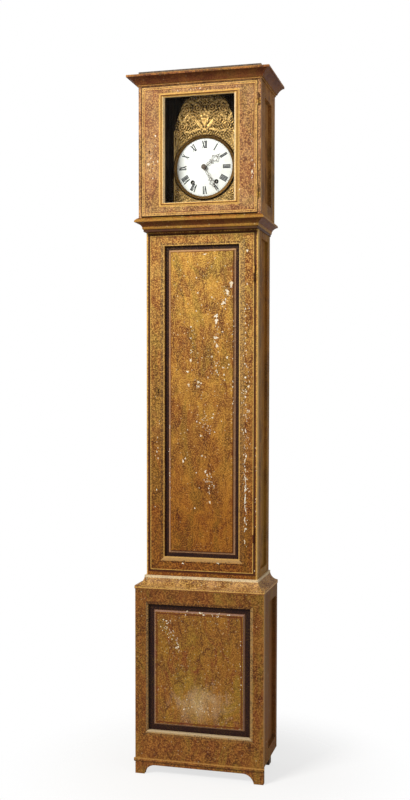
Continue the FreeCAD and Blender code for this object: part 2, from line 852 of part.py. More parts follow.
def build_mouldings():
    inset = size.trunk_setback + size.base_overhang + size.overrun
    lip = size.base_moulding_lip
    cove_foot = size.base_moulding_fillet + lip
    cove_top = cove_foot + size.base_moulding_cove_rise
    cove_back = size.base_overhang - size.base_moulding_step
    cove = (cove_back - lip + size.base_moulding_cove_rise) * size.base_cove_share
    profile = [
        (-inset, ZERO),
        (lip, ZERO),
        (lip, size.base_moulding_fillet),
        (ZERO, cove_foot),
        (-lip, cove_foot),
        (-cove_back, cove_top, -cove),
        (-cove_back, size.base_moulding_height),
        (-inset, size.base_moulding_height),
    ]
    base = wrapped_moulding("base_moulding", place.base_half, place.base_front, size.base_top_height,
                            profile, trunk_room("base_moulding_core"))
    keep(base, "base_top_moulding")
    inset = size.hood_forward + size.trunk_setback + size.hood_overhang + size.overrun
    height = size.throat_height
    nose_low = height - size.throat_top_slope
    hollow_top = nose_low - size.throat_tip
    lower = size.throat_lower_fillet
    step_top = lower * 2
    hollow_foot = step_top + size.throat_tip
    step = (size.throat_foot_inset - size.throat_lower_inset + lower) * size.throat_step_share
    out = size.throat_projection
    hollow = (size.throat_lower_inset + out + hollow_top - hollow_foot) * size.throat_hollow_share
    nose = (out + size.throat_top_slope) * size.throat_nose_share
    profile = [
        (-inset, ZERO),
        (-size.throat_foot_inset, ZERO),
        (-size.throat_foot_inset, lower),
        (-size.throat_lower_inset, step_top, step),
        (-size.throat_lower_inset, hollow_foot),
        (out, hollow_top, -hollow),
        (out, nose_low),
        (ZERO, height, nose),
        (-inset, height),
    ]
    throat = wrapped_moulding("throat", place.hood_half, place.hood_front, place.hood_bottom - height,
                              profile, trunk_room("throat_core"))
    keep(throat, "throat_moulding")
    height = size.cornice_height
    upper = height - size.cornice_upper_fillet
    lower = size.cornice_lower_fillet
    foot = size.cornice_foot
    out = size.cornice_projection
    cove = (out - foot * 3 + upper - lower) * size.cornice_cove_share
    profile = [
        (ZERO, ZERO),
        (foot, ZERO),
        (foot, lower),
        (foot * 2, lower),
        (out - foot, upper, -cove),
        (out, upper),
        (out, height),
        (ZERO, height),
    ]
    cornice = wrapped_moulding("cornice_body", place.hood_half, place.hood_front, place.hood_top - height,
                               profile)
    keep(cornice, "cornice")
    cap = box("cap", (-place.hood_half, place.hood_front, place.hood_top),
              (place.hood_half, place.back, place.hood_top + size.cap_thickness))
    keep(cap, "cap_board")


def keyhole_tool(label, across, front, height):
    """A round hole with a slot below it, right through the door."""
    depth = size.frame_thickness + size.overrun * 2
    hole = cylinder(label + "_hole", size.keyhole_radius, depth, across,
                    front + size.frame_thickness + size.overrun, height, "front")
    slot = box(label + "_slot", (across - size.keyhole_slot_width / 2, front - size.overrun,
                                 height - size.keyhole_slot),
               (across + size.keyhole_slot_width / 2, front + size.frame_thickness + size.overrun, height))
    return fused(label + "_tool", [hole, slot])


def build_lock(section, front, inside_half, height):
    """A lock case screwed to the door's back, open along its middle for the bolt that slides in it."""
    back = door_back(front)
    left = -inside_half + size.lock_inset
    middle_y = back + size.lock_depth / 2
    half_bolt = size.bolt_height / 2
    case = box(section + "_lock_case", (left, back, height - size.lock_height / 2),
               (left + size.lock_length, back + size.lock_depth, height + size.lock_height / 2))
    clear = size.bolt_clearance
    low_y = middle_y - size.bolt_thickness / 2
    high_y = middle_y + size.bolt_thickness / 2
    channel = box(section + "_lock_channel",
                  (left - size.overrun, low_y - clear, height - half_bolt - clear),
                  (left + size.bolt_length + clear * 2, high_y + clear, height + half_bolt + clear))
    keep(cut(section + "_lock_body", case, channel), section + "_door_lock_case")
    bolt = box(section + "_bolt", (left, low_y, height - half_bolt),
               (left + size.bolt_length, high_y, height + half_bolt))
    keep(bolt, section + "_door_lock_bolt")


def flats(label, radius, height, across, deep, low, sides=FLATS):
    """An upright bar with flat sides; its corners lie on the radius."""
    piece = doc.addObject("Part::Prism", label)
    piece.Polygon = sides
    bind(piece, Circumradius=radius, Height=height)
    return put(piece, across, deep, low)


def hinge_half(label, across, front, low, high, side, pinned):
    """One half of a hinge: half the knuckle, its wing on the face, a button at its end, and the pin or the bore."""
    barrel_y = front - size.hinge_standoff
    length = high - low
    barrel = flats(label + "_barrel", size.hinge_radius, length, across, barrel_y, low, FLATS * 2)
    outer = across + side * (size.hinge_radius + size.hinge_wing)
    left, right = (outer, across) if side < 0 else (across, outer)
    wing = box(label + "_wing", (left, front - size.hinge_wing_thickness, low), (right, front, high))
    button = flats(label + "_button", size.hinge_radius * size.hinge_button_share, size.hinge_finial_height, across,
                   barrel_y, low - size.hinge_finial_height if pinned else high)
    pieces = [barrel, wing, button]
    if pinned:
        pin = flats(label + "_pin", size.hinge_pin_radius, length * 2 - size.hinge_split, across, barrel_y, low)
        return fused(label + "_half", pieces + [pin])
    bore = flats(label + "_bore", (size.hinge_pin_radius + size.pivot_clearance) / FLAT_INSET,
                 length + size.overrun, across, barrel_y, low - size.overrun)
    return cut(label + "_half", fused(label + "_solid", pieces), bore)


def hinge_pair(section, front, axis_x, heights, height):
    """Both halves of a door's two hinges: the pinned halves for the case, the bored halves for the door."""
    fixed = []
    moving = []
    for number, middle in enumerate(heights):
        label = "%s_hinge_%d" % (section, number)
        fixed.append(hinge_half(label + "_fixed", axis_x, front, middle - height / 2,
                                middle - size.hinge_split / 2, 1, True))
        moving.append(hinge_half(label + "_moving", axis_x, front, middle + size.hinge_split / 2,
                                 middle + height / 2, -1, False))
    return fixed, moving


def build_doors():
    left, low, right, high = trunk_door_box()
    window = (left + size.trunk_door_stile, low + size.trunk_door_bottom_rail,
              right - size.trunk_door_stile, high - size.trunk_door_top_rail)
    rebate_depth = size.frame_thickness - size.panel_setback
    thickness = size.frame_thickness - size.door_stop_gap
    body = frame("trunk_door_body", (left, low, right, high), window, thickness, size.panel_lap,
                 rebate_depth - size.door_stop_gap)
    put(body, ZERO, place.trunk_front + thickness, ZERO, "front")
    tool = keyhole_tool("trunk_keyhole", left + size.keyhole_inset, place.trunk_front, place.trunk_keyhole)
    keep(cut("trunk_door_bored", body, tool), "trunk_door_frame")
    panel = raised_panel("trunk_panel_body", window, size.trunk_groove)
    put(panel, ZERO, place.trunk_front + size.panel_setback + size.panel_thickness, ZERO, "front")
    keep(panel, "trunk_door_panel")
    build_lock("trunk", place.trunk_front, place.trunk_inside, place.trunk_keyhole)
    axis = right + size.door_gap / 2
    fixed, moving = hinge_pair("trunk", place.trunk_front, axis,
                               (low + size.trunk_lower_hinge_rise, high - size.trunk_upper_hinge_drop),
                               size.hinge_height)
    keep(group("trunk_moving_halves", moving), "trunk_door_hinge_halves")
    left, low, right, high = hood_door_box()
    window = (left + size.hood_door_stile, low + size.hood_door_bottom_rail,
              right - size.hood_door_stile, high - size.hood_door_top_rail)
    body = frame("hood_door_body", (left, low, right, high), window, thickness, size.panel_lap,
                 rebate_depth - size.door_stop_gap)
    put(body, ZERO, place.hood_front + thickness, ZERO, "front")
    tool = keyhole_tool("hood_keyhole", left + size.hood_keyhole_inset, place.hood_front, place.hood_keyhole)
    keep(cut("hood_door_bored", body, tool), "hood_door_frame")
    build_glazing(window)
    build_lock("hood", place.hood_front, place.hood_inside, place.hood_keyhole)
    axis = right + size.door_gap / 2
    hood_fixed, moving = hinge_pair("hood", place.hood_front, axis,
                                    (low + size.hood_lower_hinge_rise, high - size.hood_upper_hinge_drop),
                                    size.hood_hinge_height)
    keep(group("hood_moving_halves", moving), "hood_door_hinge_halves")
    keep(group("case_halves", fixed + hood_fixed), "case_hinge_halves")


def build_glazing(window):
    """The moulded ring that frames the sight opening, and the pane behind it in the door's rebate."""
    left, low, right, high = window
    sight = (left + size.glazing_side, low + size.glazing_bottom, right - size.glazing_side,
             high - size.glazing_top)
    depth = size.panel_setback + size.glazing_proud
    body, pad = plate("glazing_body", [rectangle(*window), rectangle(*sight)], depth)
    doc.recompute()
    top = float(depth)
    edges = []
    for number, edge in enumerate(pad.Shape.Edges, start=1):
        inner = all(abs(vertex.X) < float(right - size.glazing_side / 2)
                    and float(low + size.glazing_bottom / 2) < vertex.Y < float(high - size.glazing_top / 2)
                    and same(vertex.Z, top) for vertex in edge.Vertexes)
        if inner:
            edges.append("Edge%d" % number)
    bevel = body.newObject("PartDesign::Chamfer", "glazing_bevel")
    bevel.Base = (pad, edges)
    bind(bevel, Size=size.glazing_bevel)
    put(body, ZERO, place.hood_front + size.panel_setback, ZERO, "front")
    keep(body, "hood_door_glazing_moulding")
    lap = size.panel_lap
    glass_front = place.hood_front + size.panel_setback
    pane = box("pane", (left - lap, glass_front, low - lap),
               (right + lap, glass_front + size.glass_thickness, high + lap))
    keep(pane, "hood_door_glass")


def build_seat_board():
    half = place.hood_inside - size.seat_side_gap
    front = place.hood_front + size.frame_thickness + size.lock_depth + size.seat_front_gap
    board = box("seat", (-half, front, place.hood_bottom),
                (half, place.back_board - size.seat_back_gap, place.seat_top))
    slots = []
    for side in (-1, 1):
        left, right = line_slot_span(side)
        slots.append(box("line_slot", (left, place.drum_front, place.hood_bottom - size.overrun),
                         (right, place.drum_front + place.drum_length, place.seat_top + size.overrun)))
    keep(cut("seat_slotted", board, fused("line_slots", slots)), "seat_board")


def line_slot_span(side):
    """Left and right of the slot that a weight's line runs down through, beside its drum."""
    middle = side * (place.winding_spacing + size.drum_radius)
    return middle - size.line_slot_width / 2, middle + size.line_slot_width / 2


# Dial group.
def turned_body(label, outline, across, deep, up):
    """A section drawn beside its axis and turned once round it; the axis then runs from front to back."""
    body = doc.addObject("PartDesign::Body", label)
    sketch = new_sketch(body, label + "_section", plane="XZ_Plane")
    draw_loop(sketch, outline)
    turn = body.newObject("PartDesign::Revolution", label + "_turn")
    turn.Profile = sketch
    turn.ReferenceAxis = (sketch, ["V_Axis"])
    turn.Angle = 360
    return put(body, across, deep, up, "front")


def ball_at(label, radius, deep):
    """A ball level with the middle of the dial, whose poles stand above and below it."""
    piece = doc.addObject("Part::Sphere", label)
    bind(piece, Radius=radius)
    return put(piece, ZERO, deep, place.dial)


def build_dial():
    radius = size.enamel_radius
    ball = (radius * radius + size.enamel_dome * size.enamel_dome) / (size.enamel_dome * 2)
    depth = size.enamel_dome + size.overrun * 2
    apex = place.enamel_back - size.enamel_dome
    round_blank = cylinder("enamel_blank", radius, depth, ZERO, place.enamel_back, place.dial, "front")
    outer_ball = ball_at("enamel_face_ball", ball, apex - size.enamel_thickness + ball)
    inner_ball = ball_at("enamel_hollow_ball", ball, apex + ball)
    disc = cut("enamel_disc", common("enamel_domed", round_blank, outer_ball), inner_ball)
    behind = place.enamel_back + size.overrun
    holes = [cylinder("centre_hole_tool", size.dial_centre_hole, depth, ZERO, behind, place.dial, "front")]
    for side in (-1, 1):
        holes.append(cylinder("winding_hole_tool", size.winding_hole, depth, side * place.winding_spacing, behind,
                              place.dial - place.winding_drop, "front"))
    keep(cut("enamel_pierced", disc, fused("dial_holes", holes)), "enamel_dial")
    inner = radius + size.seat_gap
    lip = radius - size.bezel_lap
    lip_low = size.enamel_thickness * 2
    rise = size.bezel_height
    bezel = turned_body("bezel_body", [
        (inner, ZERO),
        (place.bezel_radius, ZERO),
        (place.bezel_radius, rise / 2),
        (place.bezel_radius - size.bezel_face, rise),
        (lip, lip_low),
        (inner, lip_low),
    ], ZERO, place.enamel_back, place.dial)
    keep(bezel, "dial_bezel")
    build_surround()


def surround_outline(inset):
    """The pressed plate's outline: straight sides, a shoulder, curved flanks and an arched top."""
    half = place.bezel_radius - inset
    arch = place.bezel_radius * size.arch_half_share - inset
    top = place.surround_top - inset
    start = place.surround_top * size.arch_start_share
    rise = top - start
    crown = (arch * arch + rise * rise) / (rise * 2)
    return [
        (-half, -place.surround_drop + inset),
        (half, -place.surround_drop + inset),
        (half, place.shoulder),
        (arch, start, size.surround_flank_radius),
        (-arch, start, crown),
        (-half, place.shoulder, size.surround_flank_radius),
    ]


def build_surround():
    """The brass plate behind the dial, with its raised rim and the main raised forms of the crest."""
    body, _ = plate("surround_body", [surround_outline(ZERO)], size.surround_thickness,
                    [(ZERO, ZERO, size.enamel_radius - size.bezel_face)])
    rim = new_sketch(body, "surround_rim_outline", lift=size.surround_thickness)
    draw_loop(rim, surround_outline(ZERO))
    draw_loop(rim, surround_outline(size.surround_rim))
    raised = body.newObject("PartDesign::Pad", "surround_rim_pad")
    raised.Profile = rim
    bind(raised, Length=size.surround_relief)
    ring = new_sketch(body, "surround_bezel_room_outline", lift=size.surround_thickness)
    draw_circle(ring, ZERO, ZERO, place.bezel_radius + size.seat_gap)
    room = body.newObject("PartDesign::Pocket", "surround_bezel_room")
    room.Profile = ring
    bind(room, Length=size.surround_relief)
    room.Reversed = True
    crest = new_sketch(body, "surround_crest_outline", lift=size.surround_thickness)
    draw_circle(crest, ZERO, place.crest, size.boss_radius)
    for side in (-1, 1):
        draw_circle(crest, side * size.scroll_spacing, place.crest - size.scroll_radius, size.scroll_radius)
    pad = body.newObject("PartDesign::Pad", "surround_crest_pad")
    pad.Profile = crest
    bind(pad, Length=size.surround_relief)
    put(body, ZERO, place.surround_back, place.dial, "front")
    keep(body, "brass_surround")


# Movement pieces are turned or toothed, so they are worked out from the same sizes as solids of their own.
def solid_piece(label, shapes):
    """A sub-part of one or more solids whose shapes are computed in place."""
    piece = doc.addObject("Part::Feature", label + "_shape")
    piece.Shape = shapes[0] if len(shapes) == 1 else Part.makeCompound(shapes)
    piece.Placement = FreeCAD.Placement()
    return keep(piece, label)


def along_y(radius, across, up, front, back):
    """A round bar or disc whose axis runs from front to back."""
    base = FreeCAD.Vector(float(across), float(front), float(up))
    return Part.makeCylinder(float(radius), float(back) - float(front), base, FreeCAD.Vector(0, 1, 0))


def upright(radius, across, deep, low, high):
    base = FreeCAD.Vector(float(across), float(deep), float(low))
    return Part.makeCylinder(float(radius), float(high) - float(low), base)


def block(low, high):
    low = [float(value) for value in low]
    high = [float(value) for value in high]
    return Part.makeBox(high[0] - low[0], high[1] - low[1], high[2] - low[2], FreeCAD.Vector(*low))


def closed_wire(points, deep):
    corners = [FreeCAD.Vector(float(x), float(deep), float(z)) for x, z in points]
    return Part.makePolygon(corners + corners[:1])


def slab_from(points, front, back, windows=()):
    """A flat piece cut to an outline in the plane of the dial, with any windows cut through it."""
    face = Part.Face([closed_wire(points, front)] + [closed_wire(window, front) for window in windows])
    face.validate()
    return face.extrude(FreeCAD.Vector(0, float(back) - float(front), 0))


def polar(centre, distance, angle):
    """The point at a distance and an angle in radians from a centre, in the plane of the dial."""
    return (float(centre[0]) + float(distance) * math.cos(angle),
            float(centre[1]) + float(distance) * math.sin(angle))


def ring_points(centre, radius, sides):
    """Corners of a regular outline with a flat at the top."""
    step = 2 * math.pi / sides
    return [polar(centre, radius, (number + 0.5) * step) for number in range(sides)]


def flat_bar(radius, centre, front, back):
    """A forged bar with eight flats, from front to back; its corners lie on the radius."""
    return slab_from(ring_points(centre, radius, FLATS), front, back)


def flat_post(radius, across, deep, low, high):
    """An upright bar with eight flats; its corners lie on the radius."""
    corners = [FreeCAD.Vector(x, y, float(low)) for x, y in ring_points((across, deep), radius, FLATS)]
    return Part.Face(Part.makePolygon(corners + corners[:1])).extrude(FreeCAD.Vector(0, 0, float(high - low)))


def flat_bore(radius, centre, front, back):
    """A filed hole with eight flats, in which a round bar of the radius turns with the running clearance."""
    reach = (float(radius) + float(size.pivot_clearance)) / FLAT_INSET
    return flat_bar(reach, centre, front - size.overrun, back + size.overrun)


def tooth_points(teeth, module, centre, phase, tip_share, root_share):
    """Outline of pointed teeth whose first point stands at the phase, in radians from the X axis."""
    module = float(module)
    tip = module * (teeth / 2 + float(tip_share))
    root = module * (teeth / 2 - float(root_share))
    step = 2 * math.pi / teeth
    points = []
    for number in range(teeth):
        points.append(polar(centre, tip, phase + number * step))
        points.append(polar(centre, root, phase + (number + 0.5) * step))
    return points


def crossings(centre, rim):
    """Four windows in a wheel's web, which leave a rim, four arms and a hub."""
    hub = float(size.wheel_hub)
    arm = float(size.wheel_arm) / 2
    if rim < hub + arm * 2:
        return []
    reach = math.sqrt(rim ** 2 - arm ** 2)
    diagonal = rim * math.sqrt(0.5)
    x, z = (float(value) for value in centre)
    windows = []
    for across, up in ((1, 1), (-1, 1), (-1, -1), (1, -1)):
        corners = [(arm, hub), (arm, reach), (diagonal, diagonal), (reach, arm), (hub, arm)]
        windows.append([(x + across * first, z + up * last) for first, last in corners])
    return windows


def wheel(teeth, module, centre, phase, front, thickness):
    """A brass wheel with pointed teeth and crossings."""
    outline = tooth_points(teeth, module, centre, phase, size.wheel_tip_share, size.wheel_root_share)
    rim = float(module) * (teeth / 2 - float(size.wheel_root_share)) - float(size.wheel_rim)
    return slab_from(outline, front, front + thickness, crossings(centre, rim))


def pinion(teeth, module, centre, driver, front, length):
    """A leaf pinion whose gap faces the wheel that drives it."""
    phase = direction(centre, driver) + math.pi / teeth
    outline = tooth_points(teeth, module, centre, phase, size.pinion_tip_share, size.pinion_root_share)
    return slab_from(outline, front, front + length)


def direction(first, last):
    """The angle in radians, in the dial's plane, from one arbor to another."""
    return math.atan2(float(last[1]) - float(first[1]), float(last[0]) - float(first[0]))


def fuse(shapes):
    result = shapes[0].multiFuse(shapes[1:]) if len(shapes) > 1 else shapes[0]
    return result.removeSplitter()


# Arbors, as points in the plane of the dial. Each wheel's distance from its pinion comes from their teeth.
arbor = types.SimpleNamespace()
arbor.centre = (0.0, float(place.dial))
arbor.barrel = (float(place.winding_spacing), float(place.dial - place.winding_drop))
arbor.strike = (-arbor.barrel[0], arbor.barrel[1])
barrel_distance = math.dist(arbor.centre, arbor.barrel)
great_module = 2 * barrel_distance / (TEETH["great"] + TEETH["centre_pinion"])
fine_module = float(size.train_module * size.third_module_share)
arbor.third = polar(arbor.centre, size.train_module * (TEETH["centre"] + TEETH["train_pinion"]) / 2,
                    math.radians(float(size.third_arbor_angle)))
third_distance = fine_module * (TEETH["third"] + TEETH["train_pinion"]) / 2
arbor.escape = (0.0, arbor.third[1] + math.sqrt(third_distance ** 2 - arbor.third[0] ** 2))
arbor.pallets = (0.0, arbor.escape[1] + float(size.escape_wheel_radius) * math.sqrt(2))
arbor.second = polar(arbor.strike, great_module * (TEETH["great"] + TEETH["train_pinion"]) / 2,
                     math.radians(float(size.second_arbor_angle)))
arbor.fly = polar(arbor.second, fine_module * (TEETH["second"] + TEETH["train_pinion"]) / 2,
                  math.radians(float(size.fly_arbor_angle)))
arbor.motion = (0.0, float(place.dial - size.motion_spacing))
place.cage_top = measure(arbor.pallets[1]) + size.cage_headroom


def station(share):
    """A place along the movement, measured from the inside of the front bars."""
    return place.bars_inside + place.cage_depth * share


def build_cage():
    """Bottom and top plates, four posts, and the upright bars that carry the pivots."""
    half = place.cage_half
    low = place.seat_top
    high = place.cage_top
    post = size.cage_post
    pieces = [
        block((-half, place.cage_front, low), (half, place.cage_back, low + size.cage_plate)),
        block((-half, place.cage_front, high - size.cage_plate), (half, place.cage_back, high)),
    ]
    for left in (-half, half - post):
        for front in (place.cage_front, place.cage_back - post):
            pieces.append(block((left, front, low + size.cage_plate),
                                (left + post, front + post, high - size.cage_plate)))
    tools = []
    for side in (-1, 1):
        left, right = line_slot_span(side)
        tools.append(block((left, place.drum_front, low - size.overrun),
                           (right, place.drum_front + place.drum_length,
                            low + size.cage_plate + size.overrun)))
    bore = (size.hammer_arbor_radius + size.pivot_clearance) / FLAT_INSET
    hammer_x, hammer_y = hammer_place()
    tools.append(flat_post(bore, hammer_x, hammer_y, low - size.overrun, high + size.overrun))
    solid_piece("movement_cage", [fuse(pieces).cut(tools)])
    build_bars(low + size.cage_plate, high - size.cage_plate)


def build_bars(low, high):
    """Front and rear bars, each row in one plane, bored for the pivots, and the stud of the motion wheel."""
    width = size.bar_width
    middles = [ZERO, place.winding_spacing, -place.winding_spacing, measure(arbor.third[0]) + width / 4,
               measure(arbor.second[0])]
    bores = [
        (arbor.centre, size.centre_arbor_radius),
        (arbor.barrel, size.barrel_arbor_radius),
        (arbor.strike, size.barrel_arbor_radius),
        (arbor.third, size.pivot_radius),
        (arbor.escape, size.pivot_radius),
        (arbor.second, size.pivot_radius),
        (arbor.fly, size.pivot_radius),
        (arbor.pallets, size.arbor_radius),
    ]
    solids = []
    for front in (place.cage_front, place.cage_back - size.bar_thickness):
        back = front + size.bar_thickness
        row = fuse([block((middle - width / 2, front, low), (middle + width / 2, back, high))
                    for middle in middles])
        row = row.cut([flat_bore(radius, centre, front, back) for centre, radius in bores])
        solids.extend(row.Solids)
    stud_front = motion_front() - size.motion_wheel_thickness * 3
    stud = flat_bar(size.motion_stud_radius, arbor.motion, stud_front, place.cage_front)
    carrier = next(solid for solid in solids if solid.distToShape(stud)[0] == 0)
    solids[solids.index(carrier)] = carrier.fuse(stud).Solids[0]
    solid_piece("pivot_bars", solids)


def build_brackets():
    """Four posts that hold the dial, the bell's standard and the pendulum's cock."""
    pieces = []
    post = size.dial_post
    for side in (-1, 1):
        middle = side * (place.cage_half - size.cage_post / 2)
        for up in (-place.surround_drop / 2, place.shoulder / 2):
            pieces.append(block((middle - post / 2, place.surround_back, place.dial + up),
                                (middle + post / 2, place.cage_front, place.dial + up + post)))
    middle_y = (place.cage_front + place.cage_back) / 2
    standard = size.bell_post_radius
    pieces.append(block((-standard, middle_y - standard, place.cage_top),
                        (standard, middle_y + standard,
                         place.cage_top + size.bell_rise + size.bell_height - size.bell_wall)))
    cock_back = place.pendulum + size.pendulum_rod_thickness / 2 + size.seat_gap
    pallet_z = measure(arbor.pallets[1])
    arm_low = pallet_z + size.pendulum_eye_radius + size.overrun / 2
    half = size.bar_width / 2
    foot = block((-half, place.cage_back, arm_low),
                 (half, cock_back + size.cock_thickness, arm_low + size.cock_thickness))
    hanger = block((-half, cock_back, pallet_z - half),
                   (half, cock_back + size.cock_thickness, arm_low + size.cock_thickness))
    pin = flat_bar(size.hinge_pin_radius, arbor.pallets,
                   cock_back - size.pendulum_rod_thickness - size.seat_gap * 2, cock_back)
    pieces.append(fuse([foot, hanger, pin]))
    solid_piece("movement_brackets", pieces)


def cup_form(levels, across, deep, low):
    """A round form of flat-sided bands between level rings, each given as its radius and height."""
    rings = [[FreeCAD.Vector(x, y, low + up) for x, y in ring_points((across, deep), radius, FLATS * 4)]
             for radius, up in levels]
    outlines = [rings[0], rings[-1]]
    for below, above in zip(rings, rings[1:]):
        for number in range(len(below)):
            outlines.append([below[number - 1], below[number], above[number], above[number - 1]])
    faces = [Part.Face(Part.makePolygon(corners + corners[:1])) for corners in outlines]
    form = Part.makeSolid(Part.makeShell(faces))
    return form if form.Volume > 0 else form.reversed()


def build_bell():
    """A shallow cup of bell metal, open below, with its nut on top."""
    middle_y = float((place.cage_front + place.cage_back) / 2)
    low = float(place.cage_top + size.bell_rise)
    radius = float(size.bell_radius)
    high = float(size.bell_height)
    wall = float(size.bell_wall)
    outside = [
        (radius, 0),
        (radius * float(size.bell_shoulder_share), high * float(size.bell_shoulder_rise_share)),
        (radius * float(size.bell_crown_share), high),
    ]
    inside = [(radius - wall, 0)] + [(across - wall, up - wall) for across, up in outside[1:]]
    cup = cup_form(outside, 0, middle_y, low).cut(cup_form(inside, 0, middle_y, low))
    nut = float(size.rating_nut_radius)
    top = block((-nut, middle_y - nut, low + high), (nut, middle_y + nut, low + high + wall * 2))
    solid_piece("bell", [fuse([cup, top])])


def barrel_solid(centre, flange_front):
    """Drum with its flange on the winding arbor, which ends in a square behind the dial."""
    radius = size.barrel_arbor_radius
    back = place.drum_front + place.drum_length
    half = size.winding_square / 2
    x, z = (measure(value) for value in centre)
    return fuse([
        flat_bar(radius, centre, place.cage_front - size.overrun, place.cage_back),
        along_y(size.drum_radius, x, z, place.drum_front, back),
        along_y(size.drum_flange_radius, x, z, flange_front, flange_front + size.drum_flange),
        block((x - half, place.enamel_back - size.enamel_dome / 2, z - half),
              (x + half, place.cage_front - size.overrun / 2, z + half)),
    ])


def great_wheel(centre, driven, front):
    """A great wheel that turns loose on its barrel's arbor."""
    back = front + size.wheel_thickness
    blank = wheel(TEETH["great"], great_module, centre, direction(centre, driven), front, size.wheel_thickness)
    return blank.cut(flat_bore(size.barrel_arbor_radius, centre, front, back))


def build_great_wheels():
    back = place.drum_front + place.drum_length
    solid_piece("going_barrel", [barrel_solid(arbor.barrel, back - size.drum_flange)])
    solid_piece("strike_barrel", [barrel_solid(arbor.strike, place.drum_front)])
    solid_piece("going_great_wheel", [great_wheel(arbor.barrel, arbor.centre,
                                                  station(size.great_wheel_station_share))])
    solid_piece("strike_great_wheel", [great_wheel(arbor.strike, arbor.second,
                                                   station(size.strike_great_station_share))])


def facing_pinion(teeth, module, centre, driver, wheel_front):
    """A pinion centred on the wheel that drives it, and longer than the wheel is thick."""
    front = wheel_front - (size.pinion_length - size.wheel_thickness) / 2
    return pinion(teeth, module, centre, driver, front, size.pinion_length)


def train_arbor(centre, driver, module, driver_front):
    """An arbor with eight flats, a fine pivot at each end and the leaf pinion cut on it."""
    inner = place.cage_back - size.bar_thickness
    shaft = flat_bar(size.arbor_radius, centre, place.bars_inside + size.seat_gap, inner - size.seat_gap)
    front = flat_bar(size.pivot_radius, centre, place.cage_front, place.bars_inside + size.seat_gap)
    back = flat_bar(size.pivot_radius, centre, inner - size.seat_gap, place.cage_back)
    return [shaft, front, back,
            facing_pinion(TEETH["train_pinion"], module, centre, driver, driver_front)]


def motion_front():
    """Front of the wheel that the cannon's pinion drives, ahead of the cage."""
    return place.cage_front - size.motion_station - size.motion_wheel_thickness


def motion_module(driver, driven):
    """The module at which two wheels of the motion work just reach each other."""
    return size.motion_spacing * 2 / (TEETH[driver] + TEETH[driven])


def build_going_train():
    thickness = size.wheel_thickness
    great_front = station(size.great_wheel_station_share)
    centre_front = station(size.centre_wheel_station_share)
    third_front = station(size.third_wheel_station_share)
    escape_front = station(size.escape_wheel_station_share)
    centre = arbor.centre
    hand_front = place.enamel_back - size.minute_hand_rise
    shaft = flat_bar(size.centre_arbor_radius, centre, hand_front, place.cage_back)
    leaves = facing_pinion(TEETH["centre_pinion"], great_module, centre, arbor.barrel, great_front)
    centre_wheel = wheel(TEETH["centre"], size.train_module, centre, direction(centre, arbor.third),
                         centre_front, thickness)
    solid_piece("centre_wheel", [fuse([shaft, leaves, centre_wheel])])
    third = wheel(TEETH["third"], fine_module, arbor.third, direction(arbor.third, arbor.escape), third_front,
                  thickness)
    solid_piece("third_wheel", [fuse(train_arbor(arbor.third, centre, size.train_module, centre_front)
                                     + [third])])
    solid_piece("escape_wheel", [fuse(train_arbor(arbor.escape, arbor.third, fine_module, third_front)
                                      + [escape_blank(escape_front)])])
    build_cannon(hand_front + size.hand_thickness * 2)
    build_motion_work()


def escape_blank(front):
    """The escape wheel: a rim with thirty undercut teeth that all lean one way."""
    tip = float(size.escape_wheel_radius)
    root = tip - float(size.wheel_rim)
    step = 2 * math.pi / TEETH["escape"]
    lean = float(size.escape_lean_share)
    heel = float(size.escape_heel_share)
    points = []
    for number in range(TEETH["escape"]):
        for radius, turn in ((root, number - lean), (tip, number), (root, number + heel)):
            points.append(polar(arbor.escape, radius, turn * step))
    return slab_from(points, front, front + size.wheel_thickness,
                     crossings(arbor.escape, root - float(size.wheel_arm)))


def build_cannon(front):
    """The cannon pinion: a tube on the centre arbor, just behind the minute hand, with its leaves."""
    centre = arbor.centre
    back = place.cage_front - size.pivot_clearance
    thickness = size.motion_wheel_thickness
    tube = flat_bar(size.cannon_radius, centre, front, back)
    leaves = pinion(TEETH["cannon"], motion_module("cannon", "motion"), centre, arbor.motion,
                    motion_front() - thickness / 2, thickness * 2)
    hole = flat_bar(size.centre_arbor_radius, centre, front - size.overrun, back + size.overrun)
    solid_piece("cannon_pinion", [fuse([tube, leaves]).cut(hole)])


def build_motion_work():
    """The wheels behind the dial that turn the hour hand once for twelve turns of the minute hand."""
    centre = arbor.centre
    thickness = size.motion_wheel_thickness
    front = motion_front()
    hour_back = front - thickness
    hour_front = hour_back - thickness
    cannon_module = motion_module("cannon", "motion")
    hour_module = motion_module("motion_pinion", "hour")
    blank = wheel(TEETH["motion"], cannon_module, arbor.motion, direction(arbor.motion, centre), front, thickness)
    leaves = pinion(TEETH["motion_pinion"], hour_module, arbor.motion, centre, hour_front - thickness / 2,
                    front - hour_front + thickness / 2)
    bore = flat_bore(size.motion_stud_radius, arbor.motion, hour_front, front + thickness)
    solid_piece("intermediate_wheel", [fuse([blank, leaves]).cut(bore)])
    blank = slab_from(tooth_points(TEETH["hour"], hour_module, centre, direction(centre, arbor.motion),
                                   size.wheel_tip_share, size.wheel_root_share), hour_front, hour_back)
    pipe_front = place.enamel_back - size.hour_hand_rise - size.hand_thickness
    pipe = flat_bar(size.hour_pipe_radius, centre, pipe_front, hour_back)
    bore = flat_bore(size.cannon_radius, centre, pipe_front, hour_back)
    solid_piece("hour_wheel", [fuse([blank, pipe]).cut(bore)])


